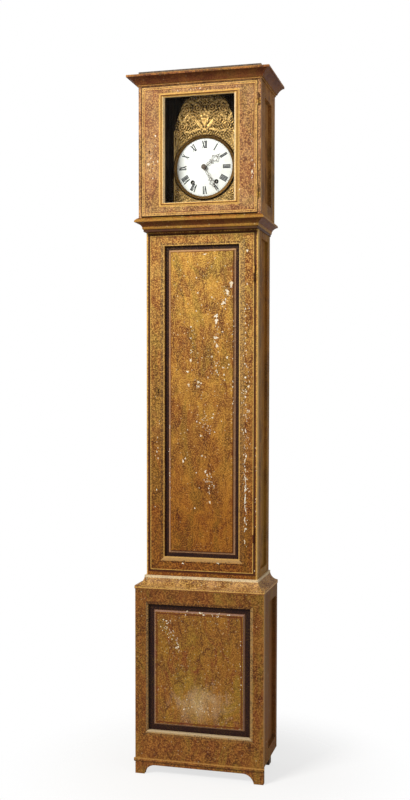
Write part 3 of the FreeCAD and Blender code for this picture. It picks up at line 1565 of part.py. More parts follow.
def hand(label, length, ring_share, ring_radius, angle, front, bore, tail):
    """A pierced hand: a hub, a tapering stem, an open ring towards the end, and a fine tip."""
    x, z = arbor.centre
    back = front + size.hand_thickness
    stem = float(size.hand_stem) / 2
    tip = float(size.hand_tip) / 2
    reach = float(length)
    ring = float(ring_radius)
    ring_z = z + reach * float(ring_share)
    cover = ring * float(size.ring_cover_share)
    beyond = stem * float(size.stem_beyond_share)
    rear = float(tail)
    sides = FLATS * 2
    loop = slab_from(ring_points((x, ring_z), ring, sides), front, back,
                     [ring_points((x, ring_z), ring - float(size.hand_ring_wall), sides)])
    pieces = [
        slab_from([(x - stem, z), (x + stem, z), (x + stem / 2, ring_z - cover), (x - stem / 2, ring_z - cover)],
                  front, back),
        slab_from([(x - beyond, ring_z + cover), (x + beyond, ring_z + cover), (x + tip, z + reach),
                   (x - tip, z + reach)], front, back),
        slab_from([(x - stem / 2, z - rear), (x + stem / 2, z - rear), (x + stem, z), (x - stem, z)], front, back),
        slab_from(ring_points((x, z), size.hand_hub, sides), front, back),
        loop,
    ]
    hole = flat_bar(bore, (x, z), front - size.overrun, back + size.overrun)
    shape = fuse(pieces)
    shape.rotate(FreeCAD.Vector(x, 0, z), FreeCAD.Vector(0, 1, 0), float(angle))
    solid_piece(label, [shape.cut(hole)])


def build_hands():
    hand("minute_hand", size.minute_hand_length, size.minute_ring_share, size.hand_ring, size.minute_angle,
         place.enamel_back - size.minute_hand_rise, size.centre_arbor_radius, size.hand_tail)
    hand("hour_hand", size.hour_hand_length, size.hour_ring_share, size.hour_hand_ring, size.hour_angle,
         place.enamel_back - size.hour_hand_rise - size.hand_thickness, size.hour_pipe_radius,
         size.hand_tail * size.hour_tail_share)


def build_escapement():
    """The anchor on its arbor with both pallets above the wheel, and the crutch behind the cage."""
    x, z = arbor.pallets
    front = station(size.escape_wheel_station_share) - (size.pallet_thickness - size.wheel_thickness) / 2
    back = front + size.pallet_thickness
    gap = float(size.escape_wheel_radius + size.pallet_lift_gap)
    span = float(size.escape_wheel_radius * size.pallet_span_share)
    width = float(size.pallet_width)
    foot = arbor.escape[1] + math.sqrt(gap ** 2 - (span - width) ** 2)
    outline = [
        (0, z + width),
        (span, foot + width * float(size.pallet_drop_share)),
        (span, foot),
        (span - width, foot),
        (span - width, foot + width / 2),
        (0, z - width),
    ]
    arms = [slab_from([(x + side * across, up) for across, up in outline], front, back) for side in (-1, 1)]
    crutch_front = place.cage_back + size.seat_gap
    crutch_back = crutch_front + size.cock_thickness / 2
    low = z - float(size.crutch_length)
    half = float(size.crutch_width) / 2
    shaft = flat_bar(size.arbor_radius, arbor.pallets, place.cage_front, crutch_back)
    crutch = block((x - half, crutch_front, low), (x + half, crutch_back, z + half))
    inner = float(size.pendulum_rod_width) / 2 + float(size.seat_gap)
    outer = inner + float(size.pivot_radius) * 2
    high = low + float(size.crutch_width)
    bridge = block((x - outer, crutch_front, low), (x + outer, crutch_back, high))
    fork = [block((x + left, crutch_front, low), (x + right, place.pendulum + size.pendulum_rod_thickness, high))
            for left, right in ((-outer, -inner), (inner, outer))]
    solid_piece("pallet_anchor", [fuse(arms + [shaft, crutch, bridge] + fork)])


def build_pendulum():
    x, z = arbor.pallets
    half = float(size.pendulum_rod_width) / 2
    front = place.pendulum - size.pendulum_rod_thickness / 2
    back = place.pendulum + size.pendulum_rod_thickness / 2
    bob_z = z - float(size.pendulum_length)
    radius = float(size.bob_radius)
    eye = flat_bar(size.pendulum_eye_radius, (x, z), front, back)
    rod = block((x - half, front, bob_z - float(size.pendulum_tail)), (x + half, back, z))
    bore = flat_bore(size.hinge_pin_radius, arbor.pallets, front, back)
    nut_half = size.rating_nut_radius / 2
    nut_high = bob_z - radius
    nut = block((x - float(size.rating_nut_radius), place.pendulum - nut_half,
                 nut_high - float(size.rating_nut_height)),
                (x + float(size.rating_nut_radius), place.pendulum + nut_half, nut_high))
    solid_piece("pendulum_rod", [fuse([eye, rod, nut]).cut(bore)])
    lens = turned_lens(radius, float(size.bob_half_thickness), float(size.bob_edge))
    lens.translate(FreeCAD.Vector(x, float(place.pendulum), bob_z))
    play = size.seat_gap
    slot = block((x - half - float(play), front - play, bob_z - radius - float(size.overrun)),
                 (x + half + float(play), back + play, bob_z + radius + float(size.overrun)))
    solid_piece("pendulum_bob", [lens.cut(slot)])


def turned_lens(radius, half_thickness, edge):
    """A disc with a narrow rim and two domed faces, as where two large balls meet."""
    rise = half_thickness - edge
    ball = (radius ** 2 + rise ** 2) / (rise * 2)
    lens = along_y(radius, 0, 0, -half_thickness, half_thickness)
    for side in (-1, 1):
        lens = lens.common(Part.makeSphere(ball, FreeCAD.Vector(0, side * (ball - half_thickness), 0)))
    return lens


def build_strike_train():
    great_front = station(size.strike_great_station_share)
    second_front = station(size.second_wheel_station_share)
    second = wheel(TEETH["second"], fine_module, arbor.second, direction(arbor.second, arbor.fly), second_front,
                   size.wheel_thickness)
    solid_piece("strike_second_wheel", [fuse(train_arbor(arbor.second, arbor.strike, great_module, great_front)
                                             + [second])])
    front = station(size.fly_station_share)
    x, z = (measure(value) for value in arbor.fly)
    vane = block((x - size.fly_span, front, z - size.fly_thickness),
                 (x + size.fly_span, front + place.cage_depth * size.fly_width_share, z + size.fly_thickness))
    solid_piece("strike_fly", [fuse(train_arbor(arbor.fly, arbor.second, fine_module, second_front) + [vane])])
    build_hammer()


def hammer_place():
    return -place.cage_half + size.hammer_inset, station(size.hammer_station_share)


def build_hammer():
    """An upright arbor at the side of the cage; its arm above the top plate carries the hammer's head."""
    x, y = hammer_place()
    arm_z = place.cage_top + size.hammer_rise
    thick = size.arbor_radius
    shaft = flat_post(size.hammer_arbor_radius, x, y, place.seat_top, arm_z)
    tail = block((x, y - thick, place.dial - thick), (x + size.hammer_tail, y + thick, place.dial + thick))
    head_x = x + size.hammer_reach_x
    head_y = y - size.hammer_reach_y
    turn = math.degrees(math.atan2(-float(size.hammer_reach_y), float(size.hammer_reach_x)))
    reach = math.hypot(float(size.hammer_reach_x), float(size.hammer_reach_y))
    arm = block((x, y - thick, arm_z - thick * 2), (x + reach, y + thick, arm_z))
    arm.rotate(FreeCAD.Vector(float(x), float(y), float(arm_z)), FreeCAD.Vector(0, 0, 1), turn)
    half = size.hammer_head_height / 2
    middle = arm_z - thick
    head = flat_post(size.hammer_head_radius, head_x, head_y, middle - half, middle + half)
    solid_piece("hammer", [fuse([shaft, arm, head, tail])])


def build_weights():
    for label, side in (("going", 1), ("strike", -1)):
        x = side * (place.winding_spacing + size.drum_radius + size.line_radius)
        low = size.weight_rest_height
        top = low + size.weight_height
        eye_top = top + size.weight_eye_height
        neck = size.weight_neck / 2
        body = upright(size.weight_radius, x, place.drum_middle, low, top)
        eye = block((x - neck, place.drum_middle - neck, top), (x + neck, place.drum_middle + neck, eye_top))
        solid_piece(label + "_weight", [fuse([body, eye])])
        line = upright(size.line_radius, x, place.drum_middle, eye_top, place.dial - place.winding_drop)
        solid_piece(label + "_line", [line])


build_carcass()
build_face_frames()
build_back_board()
build_mouldings()
build_doors()
build_seat_board()
build_dial()
build_cage()
build_brackets()
build_bell()
build_great_wheels()
build_going_train()
build_hands()
build_escapement()
build_pendulum()
build_strike_train()
build_weights()

doc.recompute()
for item in doc.Objects:
    if "Invalid" in item.State or "Error" in item.State:
        raise RuntimeError("%s did not build: %s" % (item.Label, item.State))
os.makedirs("parts", exist_ok=True)
for piece in sub_parts:
    shape = piece.Shape
    if shape.isNull() or not shape.isValid() or not shape.Solids:
        raise RuntimeError("%s has no valid solid" % piece.Label)
for piece in sub_parts:
    piece.Shape.exportStep("parts/%s.step" % piece.Label)
print("%d sub-parts" % len(sub_parts))
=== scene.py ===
"""The looks of a painted longcase clock: graining, dial, hands, pressed crest and the stage round it."""

import math

import bpy
import numpy as np
from bpy.props import FloatProperty, FloatVectorProperty, IntProperty, PointerProperty
from mathutils import Matrix, Vector


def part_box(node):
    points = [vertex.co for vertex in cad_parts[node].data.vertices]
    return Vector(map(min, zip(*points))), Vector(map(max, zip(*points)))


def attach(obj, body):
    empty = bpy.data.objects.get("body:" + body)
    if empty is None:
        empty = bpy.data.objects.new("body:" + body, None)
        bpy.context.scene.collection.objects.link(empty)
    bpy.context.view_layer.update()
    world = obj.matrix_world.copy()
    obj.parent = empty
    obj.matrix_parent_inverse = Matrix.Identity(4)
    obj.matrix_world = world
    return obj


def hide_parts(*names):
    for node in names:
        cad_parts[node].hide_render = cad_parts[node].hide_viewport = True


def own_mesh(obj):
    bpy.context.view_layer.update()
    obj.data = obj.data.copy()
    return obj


bl_info = {
    "name": "Painted longcase clock",
    "version": (1, 0, 0),
    "blender": (4, 5, 0),
    "location": "3D View > Sidebar > Clock",
    "description": "Dresses the clock's frame with painted graining, an enamel dial, brass work and a stage",
    "category": "Object",
}

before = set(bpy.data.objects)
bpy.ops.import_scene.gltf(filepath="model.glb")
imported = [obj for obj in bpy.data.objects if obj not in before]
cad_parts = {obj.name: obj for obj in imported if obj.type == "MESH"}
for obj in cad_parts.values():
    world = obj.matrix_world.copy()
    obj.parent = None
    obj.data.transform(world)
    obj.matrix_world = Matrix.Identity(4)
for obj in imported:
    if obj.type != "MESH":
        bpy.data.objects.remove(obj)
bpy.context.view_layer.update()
MM = 0.001
dial_low, dial_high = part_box("enamel_dial")
# The middle of the dial, across and up.
centre = ((dial_low.x + dial_high.x) / 2, (dial_low.z + dial_high.z) / 2)


def linear(code):
    """An sRGB hex colour as linear red, green and blue."""
    parts = [int(code[i:i + 2], 16) / 255 for i in (1, 3, 5)]
    return tuple(c / 12.92 if c <= 0.04045 else ((c + 0.055) / 1.055) ** 2.4 for c in parts)


def opaque(colour):
    """Four numbers from a hex code, or from the three of a property."""
    return (*(linear(colour) if isinstance(colour, str) else tuple(colour)[:3]), 1.0)


def shade(name, text, code):
    return FloatVectorProperty(name=name, description=text, subtype="COLOR", size=3, min=0, max=1,
                               default=linear(code))


def length(name, text, millimetres):
    return FloatProperty(name=name, description=text, unit="LENGTH", subtype="DISTANCE", min=0,
                         default=millimetres * MM)


class CasePaint(bpy.types.PropertyGroup):
    """Colours of the painted case."""
    # Besides patches of graining, gold is drawn as lines along the edges of doors, frames and openings, which
    # are painted highlights, partly with rubbed paint.
    gold: shade("Gold", "Brightest patches of the graining", "#e9b860")
    ochre: shade("Ochre", "Golden ground of the graining", "#c08e38")
    umber: shade("Umber", "Mid brown clouds in the graining", "#985f22")
    russet: shade("Russet", "Reddish veins and blotches", "#70331a")
    bistre: shade("Bistre", "Darkest dots of the graining", "#30180a")
    # Buff also lies along the top edge of the plinth moulding as a painted highlight.
    buff: shade("Buff", "Palest rubbed dots and arrises", "#f2dfb4")
    rose: shade("Rose", "Pinkish ground of the hood door", "#a67c52")
    # Olive also lies as painted highlight on the cornice's fillets, the apron's bead and the edges of frames.
    olive: shade("Olive", "Duller ground of stiles and rails", "#a97a3a")
    moss: shade("Moss", "Greenish drifts in the graining", "#8a7128")
    brick: shade("Brick", "Reddish drifts in the graining", "#8a4920")
    tawny: shade("Tawny", "Darker ground of the plinth", "#7f4f1f")
    # Shadow is the trunk sides' ground: partly a duller paint and partly painted shade on the sides turned
    # from the lamp.
    shadow: shade("Shadow", "Dull ground of the sides", "#96662c")
    maroon: shade("Maroon", "Painted band in the grooves round the panels", "#1c0b0a")
    # Bistre also lies as painted shade: along the foot of the trunk's face, under the apron's bead, at the
    # foot of the throat and round the sides' sunk panels.
    plum: shade("Plum", "Worn edge of the raised panels", "#93705f")
    line_red: shade("Line red", "Thin painted line inside the panels", "#56200f")
    # Mahogany also darkens the throat moulding's upper cove as painted shade.
    mahogany: shade("Mahogany", "Dark coves of the mouldings", "#5a2d14")
    weathered: shade("Weathered", "Bare grey boards on top and behind", "#6e5a45")
    gesso: shade("Gesso", "White ground that shows where paint has gone", "#efe5cf")


class MetalTones(bpy.types.PropertyGroup):
    """Colours of the metal parts."""
    brass: shade("Brass", "Wheels, bell and bob", "#b98f4a")
    bezel: shade("Bezel", "Spun ring round the enamel", "#5c4220")
    pressed: shade("Pressed brass", "Embossed sheet round the dial", "#d2aa6a")
    patina: shade("Patina", "Brown dirt in the hollows of the embossed sheet", "#38260d")
    hand: shade("Hand brass", "Pierced hands", "#50463e")
    steel: shade("Iron", "Forged and filed iron", "#4a4642")
    grey_iron: shade("Cast iron", "Weights", "#2e2b28")


class DialSizes(bpy.types.PropertyGroup):
    """Sizes and colours on the enamel dial."""
    numeral_inner: length("Numeral foot", "Distance from the centre to the foot of the numerals", 65)
    numeral_outer: length("Numeral head", "Distance from the centre to the head of the numerals", 91)
    stroke_wide: length("Wide stroke", "Width of the numerals' wide strokes", 3.6)
    stroke_fine: length("Fine stroke", "Width of the numerals' fine strokes", 1.7)
    ring_radius: length("Hole ring", "Outer radius of the rings round the winding holes", 7.8)
    minute_ring: length("Minute ring", "Radius of the ring of minutes", 96)
    enamel: shade("Enamel", "Fired white ground", "#faf8f3")
    ink: shade("Ink", "Fired black of the numerals", "#1c1c22")


class StageSettings(bpy.types.PropertyGroup):
    """Lights, floor and the fineness of the pressed relief."""
    key_power: FloatProperty(name="Key light", description="Power of the main lamp", unit="POWER",
                             default=255)
    fill_power: FloatProperty(name="Fill light", description="Power of the lamp on the right", unit="POWER",
                              default=8)
    ambient: FloatProperty(name="Ambient", description="Strength of the light from all round", default=0.4)
    floor: shade("Floor", "Pale floor under the clock", "#f2f0ec")
    samples_across: IntProperty(name="Relief points", description="Points across the pressed surround",
                                default=230)


# Node trees.
def plug(tree, node, **inputs):
    """Set or link a node's inputs, by identifier or name. Each is given a value, a socket or a node."""
    for name, value in inputs.items():
        named = [socket for socket in node.inputs if socket.identifier == name]
        socket = (named or [socket for socket in node.inputs if socket.name == name.replace("_", " ")])[0]
        if isinstance(value, bpy.types.Node):
            value = next(output for output in value.outputs if output.enabled)
        if isinstance(value, bpy.types.NodeSocket):
            tree.links.new(value, socket)
        else:
            socket.default_value = value
    return node


def add(tree, kind, **parts):
    """Add one node. Names in small letters are its settings, and the others are inputs for plug."""
    node = tree.nodes.new("ShaderNode" + kind)
    for name in filter(str.islower, parts):
        setattr(node, name, parts[name])
    return plug(tree, node, **{name: value for name, value in parts.items() if not name.islower()})


def new_material(name):
    """An empty material: its tree, its shader and the object's own coordinates."""
    material = bpy.data.materials.new(name)
    material.use_nodes = True
    tree = material.node_tree
    return material, tree, tree.nodes["Principled BSDF"], add(tree, "TexCoord").outputs["Object"]


def mixed_shaders(name, build):
    """A material made by a function that mixes shaders of its own, in place of the usual one."""
    material, tree, shader, where = new_material(name)
    tree.nodes.remove(shader)
    plug(tree, tree.nodes["Material Output"], Surface=build(tree, where))
    return material


def paint_nodes(material, names):
    """Give the material to CAD nodes by name."""
    for name in names.split():
        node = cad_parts[name]
        if not node.material_slots:
            node.data.materials.append(material)
        for held in node.material_slots:
            held.material = material


def coat(tree, base, tint, *shares, blend="MIX"):
    """Lay a tint over a base colour, as thick as its shares multiplied together.

    A share is a number, a node, or a range (pattern, from, to, least, most): from least to most of the tint
    as the pattern goes from one value to the other, and no more outside them."""
    total = None
    for share in shares:
        if isinstance(share, tuple):
            pattern, start, end, least, most = share
            share = add(tree, "MapRange", Value=pattern, From_Min=start, From_Max=end, To_Min=least,
                        To_Max=most)
        if total is None:
            total = share
        else:
            total = add(tree, "Math", operation="MULTIPLY", Value=total, Value_001=share)
    return add(tree, "Mix", data_type="RGBA", blend_type=blend, Factor_Float=total, A_Color=base,
               B_Color=opaque(tint))


def inside_distance(tree, where, low, high, across="X"):
    """How far a point lies inside a rectangle, from its nearest side: half the span less the distance from
    the middle, taken on both axes, and the smaller of the two. It is negative outside."""
    middle = [(a + b) / 2 for a, b in zip(low, high)]
    half = [(b - a) / 2 for a, b in zip(low, high)]
    offset = add(tree, "VectorMath", operation="SUBTRACT", Vector=where, Vector_001=middle)
    folded = add(tree, "VectorMath", operation="ABSOLUTE", Vector=offset)
    left = add(tree, "VectorMath", operation="SUBTRACT", Vector=half, Vector_001=folded)
    parts = add(tree, "SeparateXYZ", Vector=left).outputs
    return add(tree, "Math", operation="MINIMUM", Value=parts[across], Value_001=parts["Z"])


def brushed_line(tree, base, distance, near, far, colour, strength, wear):
    """Lay a hand-drawn line over a colour where the distance is between two values, thinned by wear. It draws
    painted lines, and painted highlights and painted shade as well.
    """
    half = (far - near) / 2
    inside = add(tree, "Math", operation="COMPARE", Value=distance, Value_001=near + half, Value_002=half)
    return coat(tree, base, colour, inside, (wear, 0.34, 0.5, strength * 0.6, strength))


def paint_bevel_light_and_shade(tree, base, where, low, high, sides):
    """Paint light and shade on the bevel that runs round an opening: each side gets the tint of the light or
    shade it would catch, mitred at the corners.

    sides are (axis, sign, width, colour, strength). A point is on a side's bevel where its distance outwards
    from that edge is under the width, and more than its distance outwards from the neighbouring edges."""
    middle, half = (low + high) / 2, (high - low) / 2
    offset = add(tree, "VectorMath", operation="SUBTRACT", Vector=where, Vector_001=middle)
    folded = add(tree, "VectorMath", operation="ABSOLUTE", Vector=offset)
    beyond = add(tree, "VectorMath", operation="SUBTRACT", Vector=folded, Vector_001=half)
    offset, beyond = (add(tree, "SeparateXYZ", Vector=each).outputs for each in (offset, beyond))
    for axis, sign, width, colour, strength in sides:
        other = "Z" if axis == "X" else "X"
        outwards = add(tree, "Math", operation="MULTIPLY_ADD", Value=offset[axis], Value_001=sign,
                       Value_002=-half["XYZ".index(axis)])
        near = add(tree, "Math", operation="COMPARE", Value=outwards, Value_001=width * MM / 2,
                   Value_002=width * MM / 2)
        mitred = add(tree, "Math", operation="GREATER_THAN", Value=outwards, Value_001=beyond[other])
        base = coat(tree, base, colour, near, mitred, strength)
    return base


def grained_paint(nodes, name, paint, ground, dark, veins=0.7, dots=1.0, worn=0.6, lean=0.6, stretch=0.45,
                  lines=(), levels=(), fall=(), bevel=None, bevel_highlight=None, patch=None, glint=None, drifts=1.0,
                  gloss=0.12):
    """Paint CAD nodes in imitation of burr wood, in oil over gesso. The eye gets soft clouds a hand wide,
    golden patches, greenish and reddish drifts, broken dark veins, a dabbed stipple that thickens and thins,
    and pale chips, with little gloss left.

    lines are (low corner, high corner, axis across, [(near, far, colour, strength)]); levels are (lowest,
    highest, colour, strength) by height. Both draw painted decoration, and also painted highlights and
    painted shade along edges, gaps and mouldings. fall is (from height, to height, tint): painted shade that
    multiplies the paint darker downwards, for light that falls off lower down. bevel is the table of painted
    light and shade for the bevel round an opening, laid under the dabs, and the argument after it is the same
    kind of table laid over the dabs, for painted highlights; patch is (across, height, half width, half
    height, colour) of a rubbed or dirty place; glint is the colour of the light dabs. Every scale is one over
    the size of its marks."""
    material, tree, shader, where = new_material(name)
    clouds_mm, patches_mm, drift_mm, cells_mm, bend_mm, dots_mm, chips_mm = 95, 38, 120, 62, 60, 3.8, 12
    clouds = add(tree, "TexNoise", Vector=where, Scale=1 / (clouds_mm * MM), Detail=3, Roughness=0.55,
                 Distortion=0.8)
    slanted = add(tree, "Mapping", Vector=where, Rotation=(0, lean, 0), Scale=(1.0, 1.0, stretch))
    patches = add(tree, "TexNoise", Vector=slanted, Scale=1 / (patches_mm * MM), Detail=5, Roughness=0.68,
                  Distortion=1.1)
    drift = add(tree, "TexNoise", Vector=slanted, Scale=1 / (drift_mm * MM), Detail=4, Roughness=0.7,
                Distortion=1.8)
    bent = add(tree, "VectorMath", operation="MULTIPLY_ADD", Vector=patches.outputs["Color"],
               Vector_001=(bend_mm * MM,) * 3, Vector_002=slanted)
    cells = add(tree, "TexVoronoi", feature="DISTANCE_TO_EDGE", Vector=bent, Scale=1 / (cells_mm * MM))
    dabs = add(tree, "TexNoise", Vector=where, Scale=1 / (dots_mm * MM), Detail=2, Roughness=0.6)
    chips = add(tree, "TexVoronoi", Vector=where, Scale=1 / (chips_mm * MM))
    colour = opaque(ground)
    golden = [min(part * 1.5, 1) for part in colour[:3]]
    for tint, *shares in ((dark, (clouds, 0.42, 0.6, 0, 1)),
                          (golden, (patches, 0.5, 0.66, 0, 0.6)),
                          (paint.moss, (drift, 0.505, 0.59, 0, 0.58 * drifts)),
                          (paint.brick, (drift, 0.49, 0.4, 0, 0.48 * drifts)),
                          (paint.russet, (patches, 0.49, 0.36, 0, veins)),
                          ("#4a2110", (cells, 0.07, 0.0, 0, veins), (clouds, 0.4, 0.56, 0, 1))):
        colour = coat(tree, colour, tint, *shares)
    if patch:
        x, z, half_across, half_up, tint = patch
        place = add(tree, "Mapping", vector_type="TEXTURE", Vector=where, Location=(x * MM, 0, z * MM),
                    Scale=(half_across * MM, 10, half_up * MM))
        away = add(tree, "VectorMath", operation="LENGTH", Vector=place).outputs["Value"]
        ragged = add(tree, "Math", operation="MULTIPLY_ADD", Value=patches, Value_001=2.6, Value_002=away)
        colour = coat(tree, colour, tint, (ragged, 2.3, 1.2, 0, 0.6))
    # Painted light and shade on the bevel round an opening, laid under the dabs.
    if bevel:
        colour = paint_bevel_light_and_shade(tree, colour, where, *bevel)
    colour = coat(tree, colour, paint.bistre, (dabs, 0.5, 0.4, 0, min(0.64 * dots, 1)),
                  (clouds.outputs["Color"], 0.4, 0.6, 0.62, 1.1))
    colour = coat(tree, colour, glint or paint.gold, (dabs, 0.53, 0.62, 0, min(0.6 * dots, 1)))
    # Painted highlights on the bevel, laid over the dabs so that they stay bright.
    if bevel_highlight:
        colour = paint_bevel_light_and_shade(tree, colour, where, *bevel_highlight)
    colour = coat(tree, colour, paint.buff, (chips, 0.24, 0.14, 0, worn),
                  (chips.outputs["Color"], 0.66, 0.72, 0, 1))
    height = add(tree, "SeparateXYZ", Vector=where).outputs["Z"]
    # Painted shade: the paint is multiplied darker downwards, for light that falls off lower down.
    for start, end, tint in fall:
        colour = coat(tree, colour, tint, (height, start, end, 0, 1), blend="MULTIPLY")
    # Bands by height: here painted highlights and painted shade on mouldings, beads and the foot of the
    # trunk.
    for lowest, highest, tint, strength in levels:
        colour = brushed_line(tree, colour, height, lowest, highest, tint, strength, dabs)
    # Lines by distance from a rectangle's edge: painted decoration, and painted highlights and painted shade
    # along edges and gaps.
    for low, high, across, drawn in lines:
        distance = inside_distance(tree, where, low, high, across)
        waver = add(tree, "Math", operation="MULTIPLY_ADD", Value=patches, Value_001=1.6 * MM,
                    Value_002=distance)
        for near, far, tint, strength in drawn:
            colour = brushed_line(tree, colour, waver, near * MM, far * MM, tint, strength, dabs)
    sheen = add(tree, "MapRange", Value=dabs, From_Min=0.3, From_Max=0.7, To_Min=0.5, To_Max=0.72)
    relief = add(tree, "Bump", Height=dabs, Strength=0.3, Distance=0.8 * MM)
    plug(tree, shader, Base_Color=colour, Roughness=sheen, Specular_IOR_Level=gloss, Normal=relief)
    paint_nodes(material, nodes)


def worn_metal(name, colour, tarnish, roughness, patch_mm=9):
    """Metal under old lacquer or oil: the tone drifts to tarnish in patches, and the gloss with it."""
    material, tree, shader, where = new_material(name)
    patches = add(tree, "TexNoise", Vector=where, Scale=1 / (patch_mm * MM), Detail=4, Roughness=0.65)
    gloss = add(tree, "MapRange", Value=patches, From_Min=0.3, From_Max=0.7, To_Min=roughness * 0.8,
                To_Max=min(roughness * 1.5, 1))
    plug(tree, shader, Base_Color=coat(tree, opaque(colour), tarnish, (patches, 0.42, 0.7, 0, 0.5)),
         Roughness=gloss, Metallic=1.0)
    return material


def fired_enamel(name, colour, aged, roughness, level):
    """Glass melted on to copper: one colour that ages in soft spots, under a very slight orange peel."""
    material, tree, shader, where = new_material(name)
    spots_mm, pits_mm = 14, 8
    spots = add(tree, "TexNoise", Vector=where, Scale=1 / (spots_mm * MM), Detail=3)
    pits = add(tree, "TexNoise", Vector=where, Scale=1 / (pits_mm * MM), Detail=2)
    plug(tree, shader, Base_Color=coat(tree, opaque(colour), aged, (spots, 0.45, 0.7, 0, 0.6)),
         Normal=add(tree, "Bump", Height=pits, Strength=0.05, Distance=0.2 * MM), Roughness=roughness,
         Specular_IOR_Level=level)
    return material


def board_wood(name, tone, dark):
    """Plain sawn pine gone grey-brown: grain drawn long by a stretched noise, with a dark joint per board."""
    material, tree, shader, where = new_material(name)
    board_mm, grain_mm, joint_mm = 140, 6, 1.8
    stretched = add(tree, "Mapping", Vector=where, Scale=(1.0, 1.0, 0.05))
    grain = add(tree, "TexNoise", Vector=stretched, Scale=1 / (grain_mm * MM), Detail=5, Roughness=0.6)
    across = add(tree, "SeparateXYZ", Vector=where).outputs["X"]
    turned_back = add(tree, "Math", operation="PINGPONG", Value=across, Value_001=board_mm * MM / 2)
    joint = add(tree, "Math", operation="LESS_THAN", Value=turned_back, Value_001=joint_mm * MM / 2)
    colour = coat(tree, opaque(tone), dark, (grain, 0.35, 0.65, 0, 1))
    plug(tree, shader, Base_Color=coat(tree, colour, (0.004, 0.003, 0.002), joint), Roughness=0.85,
         Normal=add(tree, "Bump", Height=grain, Strength=0.3, Distance=0.6 * MM))
    return material


# Surfaces from arrays.
def once_round(count):
    """Evenly spaced angles once round a circle."""
    return np.linspace(0, 2 * math.pi, count, endpoint=False)


def mesh_piece(name, points, faces, body, material, smooth=True):
    """A mesh from lists of points and faces, riding on a body."""
    mesh = bpy.data.meshes.new(name)
    mesh.from_pydata(np.asarray(points, float).tolist(), [], [list(face) for face in faces])
    mesh.materials.append(material)
    mesh.polygons.foreach_set("use_smooth", np.full(len(mesh.polygons), smooth))
    mesh.update()
    piece = bpy.data.objects.new(name, mesh)
    bpy.context.scene.collection.objects.link(piece)
    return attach(piece, body)


def grid_faces(rows, columns, loop_u=False, loop_v=False):
    """The four-sided faces of a grid of points (rows u, columns v); either way round can close on itself."""
    a, b = np.meshgrid(np.arange(rows - (not loop_u)), np.arange(columns - (not loop_v)), indexing="ij")
    c, d = (a + 1) % rows, (b + 1) % columns
    corners = (a * columns + b, c * columns + b, c * columns + d, a * columns + d)
    return np.stack(corners, axis=-1).reshape(-1, 4)


def grid_piece(name, grids, body, material, smooth=True):
    """Several grids as one piece. Each is (points, close rows, close columns)."""
    points, faces, start = [], [], 0
    for grid, loop_u, loop_v in grids:
        faces.append(grid_faces(*grid.shape[:2], loop_u, loop_v) + start)
        points.append(grid.reshape(-1, 3))
        start += len(points[-1])
    return mesh_piece(name, np.concatenate(points), np.concatenate(faces), body, material, smooth)


def ribbon(curve, half_width, front, back, closed):
    """A flat bar that follows a curve in the dial's plane. At each point the sideways direction is the
    curve's tangent turned a quarter, and the four corners of the bar lie half a width to either side."""
    ahead = np.roll(curve, -1, axis=0) - np.roll(curve, 1, axis=0)
    if not closed:
        ahead[0], ahead[-1] = curve[1] - curve[0], curve[-1] - curve[-2]
    ahead /= np.maximum(np.linalg.norm(ahead, axis=1, keepdims=True), 1e-9)
    side = np.stack([-ahead[:, 1], ahead[:, 0]], axis=1)
    width = np.broadcast_to(half_width, len(curve))[:, None]
    left, right = curve + side * width, curve - side * width
    corners = [(left, front), (right, front), (right, back), (left, back)]
    return np.stack([np.insert(flat, 1, depth, axis=1) for flat, depth in corners], axis=1)


def capped(bar):
    """Close the two ends of an open bar by drawing its first and last rings together to their middles."""
    ends = [np.broadcast_to(ring.mean(axis=1, keepdims=True), ring.shape) for ring in (bar[:1], bar[-1:])]
    return np.concatenate([ends[0], bar, ends[1]])


def turned(profile, middle):
    """A profile of (radius, depth) points turned once about an axis that runs from front to back."""
    angle = once_round(48)
    radius, depth = profile.T
    x = middle[0] + np.outer(np.cos(angle), radius)
    z = middle[1] + np.outer(np.sin(angle), radius)
    return np.stack([x, np.broadcast_to(depth, x.shape), z], axis=-1)


# Places on the dial, from the frame.
def on_dial(across, radial, turn):
    """Points in the dial's plane, by how far they lie beside and along a line turned from the upright."""
    return np.column_stack([centre[0] + across * np.cos(turn) + radial * np.sin(turn),
                            centre[1] - across * np.sin(turn) + radial * np.cos(turn)])


def dome_depth(radius):
    """Depth of the enamel's face at a distance from the centre: a parabola through its crown and its rim."""
    rim, reach = dial_high.y - 2 * MM, (dial_high.x - dial_low.x) / 2
    return dial_low.y + (rim - dial_low.y) * (radius / reach) ** 2


